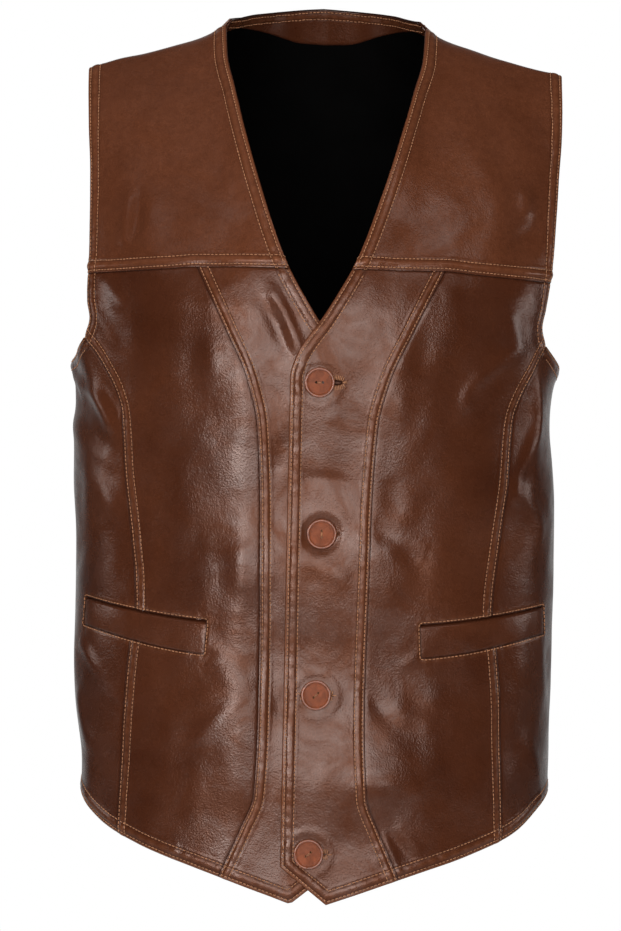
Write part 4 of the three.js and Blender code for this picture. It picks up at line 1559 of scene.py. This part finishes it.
def build_button(number, row):
    x, z, twist = row[:3]
    origin, axes = button_frame(x, z)
    points, faces = lathe(BUTTON_PROFILE, BUTTON_SIDES)
    node_name = "button_" + str(number)
    materials = [button_material("vest_button", 1.0), button_material("vest_button_dish", 0.0)]
    in_dish = np.arange(len(faces)) >= DISH_START * BUTTON_SIDES
    in_dish[-2] = False
    spots = points @ axes + origin
    body = make_object("vest_" + node_name, spots, faces, materials, in_dish.astype(int))
    angle = math.radians(twist)
    way = np.array([math.cos(angle), 0, -math.sin(angle)])
    tools = []
    radius = BUTTON_HOLES["radius"]
    rod = table("radius height", (0, -5), (radius, -5), (radius, 9), (0, 9))
    for hand in (-1, 1):
        spots, rod_faces = lathe(rod, BUTTON_HOLES["sides"])
        spots = spots + way * hand * BUTTON_HOLES["spacing"] / 2
        tools.append(make_object("rod", spots @ axes + origin, rod_faces, []))
    cut_holes(body, tools)
    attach(body, "root")
    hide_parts(node_name)
    sideways = np.array([-way[2], 0, way[0]])
    up = np.array([0.0, 1, 0])
    half = way * BUTTON_HOLES["spacing"] / 2
    down = up * BUTTON_THREAD["down"]
    stitches = []
    for hand in (-1, 1):
        strand = sideways * hand * BUTTON_THREAD["apart"] / 2
        middle = strand + up * BUTTON_THREAD["height"]
        stitches.append((middle - half * 0.64, middle + half * 0.64))
        for hole in (-half, half):
            stitches.append((middle + hole * 0.62, middle + hole * 0.78 - down))
        stitches.append((strand * 0.8 + up * 0.25, strand * 0.8 - up * 2.5))
    starts, ends = np.array(stitches).transpose(1, 0, 2) @ axes + origin
    ups = np.repeat(axes[2:3] + axes[1:2], len(starts), 0)
    thread_object("thread_" + node_name, starts, ends, ups, BUTTON_THREAD["radius"])


def blunt(value):
    """Makes an ellipse blunter at its ends."""
    return np.sign(value) * np.abs(value) ** 0.65


def build_buttonholes():
    """The worked edges of the buttonholes: close stitches round each opening."""
    starts = []
    ends = []
    ups = []
    for x, z, _, left, right, gape in zip(*BUTTONS.values()):
        origin, axes = button_frame(x, z)
        middle = (left + right) / 2
        half = (right - left) / 2 - BUTTONHOLE_BAR
        angles = np.linspace(0, 2 * math.pi, 400)
        outline = np.stack([half * blunt(np.cos(angles)), gape * blunt(np.sin(angles))], -1)
        along = lengths_along(outline)
        places = np.arange(0, along[-1], BUTTONHOLE_STITCHES["spacing"])
        spot = np.interp(places, along, angles)
        rim = np.stack([half * blunt(np.cos(spot)), gape * blunt(np.sin(spot))], -1)
        way = unit(np.stack([np.cos(spot) / half, np.sin(spot) / gape], -1))
        for low, high, lift in BUTTONHOLE_LAYERS:
            for tips, reach in ((starts, low), (ends, high)):
                flat = rim + way * reach
                local = np.stack([flat[:, 0] + middle, lift + 0 * spot, flat[:, 1]], -1)
                tips.append(local @ axes + origin)
            ups.append(np.repeat(axes[1:2], len(spot), 0))
    stitches = [np.concatenate(points) for points in (starts, ends, ups)]
    thread_object("stitches_buttonholes", *stitches, BUTTONHOLE_STITCHES["radius"])


FLOOR = {"half_side": 2400, "height": -1050, "marks": 13}


def build_floor():
    steps = np.linspace(-FLOOR["half_side"], FLOOR["half_side"], FLOOR["marks"])
    x, y = np.meshgrid(steps, steps)
    points = np.stack([x, y, FLOOR["height"] + 0 * x], -1).reshape(-1, 3)
    index = np.arange(x.size).reshape(x.shape)
    corners = (index[:-1, :-1], index[:-1, 1:], index[1:, 1:], index[1:, :-1])
    faces = np.stack([corner.ravel() for corner in corners], -1)
    floor = make_object("stage_floor", points, faces, [floor_material()])


def add_area_light(name, place, aim, width, height, power, mirrored):
    data = bpy.data.lights.new(name, "AREA")
    data.shape = "RECTANGLE"
    data.size = width
    data.size_y = height
    data.energy = power
    data.color = (1, 0.985, 0.97)
    light = bpy.data.objects.new(name, data)
    light.location = place
    light.visible_glossy = mirrored
    light.visible_camera = False
    light.rotation_euler = (Vector(aim) - Vector(place)).to_track_quat("-Z", "Y").to_euler()
    bpy.context.scene.collection.objects.link(light)


# Large soft lights: where each stands, what it faces, its size, its power and whether it is
# mirrored in glossy surfaces.
LIGHTS = (
    ("front_box", (-0.1, -3.25, -0.24), (-0.1, 0, -0.24), 2.45, 1.36, 44.0, True),
    ("upper_box", (-0.1, -3.25, 0.85), (-0.1, 0, 0.85), 2.3, 0.8, 10.0, True),
    ("side_strip", (-1.13, -3.2, -0.42), (-1.13, 0, -0.42), 0.85, 0.8, 13.0, True),
    ("yoke_left_box", (2.0, -3.25, 2.75), (2.0, 0, 2.75), 2.2, 2.0, 22.0, True),
    ("yoke_right_box", (-3.3, -3.25, 3.1), (-3.3, 0, 3.1), 2.0, 1.4, 8.0, True),
    ("right_box", (-3.0, -0.1, -0.12), (0, -0.1, -0.4), 1.3, 0.5, 5.5, True),
    ("left_box", (3.0, -0.1, -0.12), (0, -0.1, -0.4), 1.3, 0.5, 5.5, True),
    ("back_box", (0, 3.2, 0.1), (0, 0, -0.3), 2.4, 1.4, 24.0, False),
    ("top_box", (-0.7, -0.8, 2.4), (0, -0.1, -0.2), 4.0, 2.4, 50.0, False),
)
# The camera stands square before the vest. Turned angles are in degrees.
CAMERA = {
    "place": (0, -3, -0.3453),
    "turned": (90, -1.19, 0),
    "lens": 145,
    "shift": (-0.007, -0.0059),
}


def build_world():
    """Pale surroundings: bright behind the vest, dimmer to its sides and in front of it."""
    world = bpy.data.worlds.new("studio")
    bpy.context.scene.world = world
    world.use_nodes = True
    tree = world.node_tree
    tree.nodes.clear()
    way = node(tree, "TexCoord").outputs["Generated"]
    depth = node(tree, "SeparateXYZ", {"Vector": way}).outputs["Y"]
    glow = spread(tree, depth, 0.6, 1.0, 0.03, 0.45)
    around = node(tree, "Background", {"Color": (1, 1, 1, 1), "Strength": glow})
    seen = node(tree, "Background", {"Color": (1, 1, 1, 1), "Strength": 1.0})
    direct = node(tree, "LightPath").outputs["Is Camera Ray"]
    mix = node(tree, "MixShader", {0: direct, 1: around.outputs[0], 2: seen.outputs[0]})
    output = node(tree, "OutputWorld", {"Surface": mix.outputs[0]})
    output.is_active_output = True


def length_property(name, description, default, low, high):
    return FloatProperty(
        name=name, description=description, default=default, min=low, max=high, unit="LENGTH"
    )


class VestSizes(bpy.types.PropertyGroup):
    """The sizes of the cloth and of the sewing."""

    leather_wall: length_property(
        "Leather wall", "Thickness of the fronts with their lining", 0.002, 0.001, 0.003
    )
    back_wall: length_property("Back wall", "Thickness of the back's leather", 0.0014, 0.001, 0.003)
    lining_wall: length_property(
        "Lining wall", "Thickness of the back's lining and of the neck facing", 0.001, 0.0005, 0.002
    )
    lining_gap: length_property(
        "Lining gap", "Space between the back and its lining", 0.0005, 0.0001, 0.005
    )
    row_near: length_property(
        "Near row", "Distance of the first row of stitches from a turned edge", 0.0023, 0.001, 0.006
    )
    row_far: length_property(
        "Far row", "Distance of the second row of stitches from a turned edge", 0.0098, 0.004, 0.02
    )
    stitch_pitch: length_property(
        "Stitch pitch", "Length of one stitch with the gap after it", 0.0031, 0.0015, 0.008
    )
    stitch_gap: length_property(
        "Stitch gap", "Gap between two stitches of a row", 0.0007, 0.0002, 0.003
    )
    thread_width: length_property(
        "Thread width", "Thickness of the sewing thread", 0.00076, 0.0003, 0.0015
    )


def colour_property(name, description, default):
    return FloatVectorProperty(
        name=name, description=description, default=default, size=4, min=0, max=1, subtype="COLOR"
    )


class VestColours(bpy.types.PropertyGroup):
    """The colours of the cloth, thread, buttons and floor."""

    leather_dark: colour_property("Dark leather", "Deep tone of the leather", (0.059, 0.0158, 0.0067, 1))
    leather_light: colour_property("Light leather", "Lighter tone of the leather", (0.15, 0.047, 0.021, 1))
    leather_rubbed: colour_property("Rubbed leather", "Leather on rubbed edges", (0.34, 0.12, 0.05, 1))
    # The lining's body is black cloth drawn darker than it is, which also paints the shade inside the
    # vest.
    lining: colour_property("Lining", "Body of the black lining", (0.0012, 0.0011, 0.0011, 1))
    thread: colour_property("Thread", "Sewing thread", (0.6, 0.27, 0.13, 1))
    button: colour_property("Buttons", "Body of the buttons", (0.32, 0.085, 0.034, 1))
    floor: colour_property("Floor", "Floor of the studio", (0.86, 0.86, 0.85, 1))


class VEST_OT_fronts(bpy.types.Operator):
    """Build the centre fronts and mid fronts with their topstitching"""

    bl_idname = "vest.fronts"
    bl_label = "Fronts"

    def execute(self, context):
        for name, side in SIDES:
            build_centre_front(name, side)
            build_mid_front(name, side)
        return {"FINISHED"}


class VEST_OT_side_panels(bpy.types.Operator):
    """Build the side panels under the arms"""

    bl_idname = "vest.side_panels"
    bl_label = "Side panels"

    def execute(self, context):
        for name, side in SIDES:
            build_side_panel(name, side)
        return {"FINISHED"}


class VEST_OT_yokes(bpy.types.Operator):
    """Build the front yokes up to the shoulder seams"""

    bl_idname = "vest.yokes"
    bl_label = "Yokes"

    def execute(self, context):
        for name, side in SIDES:
            build_yoke(name, side)
        return {"FINISHED"}


class VEST_OT_pockets(bpy.types.Operator):
    """Build the welts of the two pockets"""

    bl_idname = "vest.pockets"
    bl_label = "Pockets"

    def execute(self, context):
        for name, side in SIDES:
            build_welt(name, side)
        return {"FINISHED"}


class VEST_OT_back(bpy.types.Operator):
    """Build the back, its lining and its neck facing"""

    bl_idname = "vest.back"
    bl_label = "Back"

    def execute(self, context):
        build_back_panel()
        build_back_lining()
        build_neck_facing()
        return {"FINISHED"}


class VEST_OT_buttons(bpy.types.Operator):
    """Build the four buttons, their thread and their worked buttonholes"""

    bl_idname = "vest.buttons"
    bl_label = "Buttons"

    def execute(self, context):
        for number, row in enumerate(zip(*BUTTONS.values()), 1):
            build_button(number, row)
        build_buttonholes()
        return {"FINISHED"}


class VEST_OT_stage(bpy.types.Operator):
    """Set up the floor, the soft lights and the camera"""

    bl_idname = "vest.stage"
    bl_label = "Stage"

    def execute(self, context):
        build_floor()
        build_world()
        for light in LIGHTS:
            add_area_light(*light)
        data = bpy.data.cameras.new("camera")
        data.sensor_width = 36
        data.lens = CAMERA["lens"]
        data.shift_x, data.shift_y = CAMERA["shift"]
        camera = bpy.data.objects.new("camera", data)
        camera.location = CAMERA["place"]
        camera.rotation_euler = [math.radians(angle) for angle in CAMERA["turned"]]
        context.scene.collection.objects.link(camera)
        context.scene.camera = camera
        context.scene.view_settings.view_transform = "Standard"
        return {"FINISHED"}


class VEST_PT_panel(bpy.types.Panel):
    """Lists the pieces of the vest"""

    bl_idname = "VEST_PT_panel"
    bl_label = "Leather Vest"
    bl_space_type = "VIEW_3D"
    bl_region_type = "UI"
    bl_category = "Vest"

    def draw(self, context):
        layout = self.layout
        for group in (context.scene.vest_sizes, context.scene.vest_colours):
            box = layout.box()
            for key in group.__annotations__:
                box.prop(group, key)
        for operator in OPERATORS:
            layout.operator(operator.bl_idname)


OPERATORS = (
    VEST_OT_fronts,
    VEST_OT_side_panels,
    VEST_OT_yokes,
    VEST_OT_pockets,
    VEST_OT_back,
    VEST_OT_buttons,
    VEST_OT_stage,
)
CLASSES = (VestSizes, VestColours, *OPERATORS, VEST_PT_panel)


def register():
    for cls in CLASSES:
        bpy.utils.register_class(cls)
    bpy.types.Scene.vest_sizes = PointerProperty(type=VestSizes)
    bpy.types.Scene.vest_colours = PointerProperty(type=VestColours)


def unregister():
    del bpy.types.Scene.vest_colours
    del bpy.types.Scene.vest_sizes
    for cls in reversed(CLASSES):
        bpy.utils.unregister_class(cls)


def main():
    register()
    bpy.ops.vest.stage()
    bpy.ops.vest.fronts()
    bpy.ops.vest.side_panels()
    bpy.ops.vest.yokes()
    bpy.ops.vest.pockets()
    bpy.ops.vest.back()
    bpy.ops.vest.buttons()


if __name__ == "__main__":
    main()
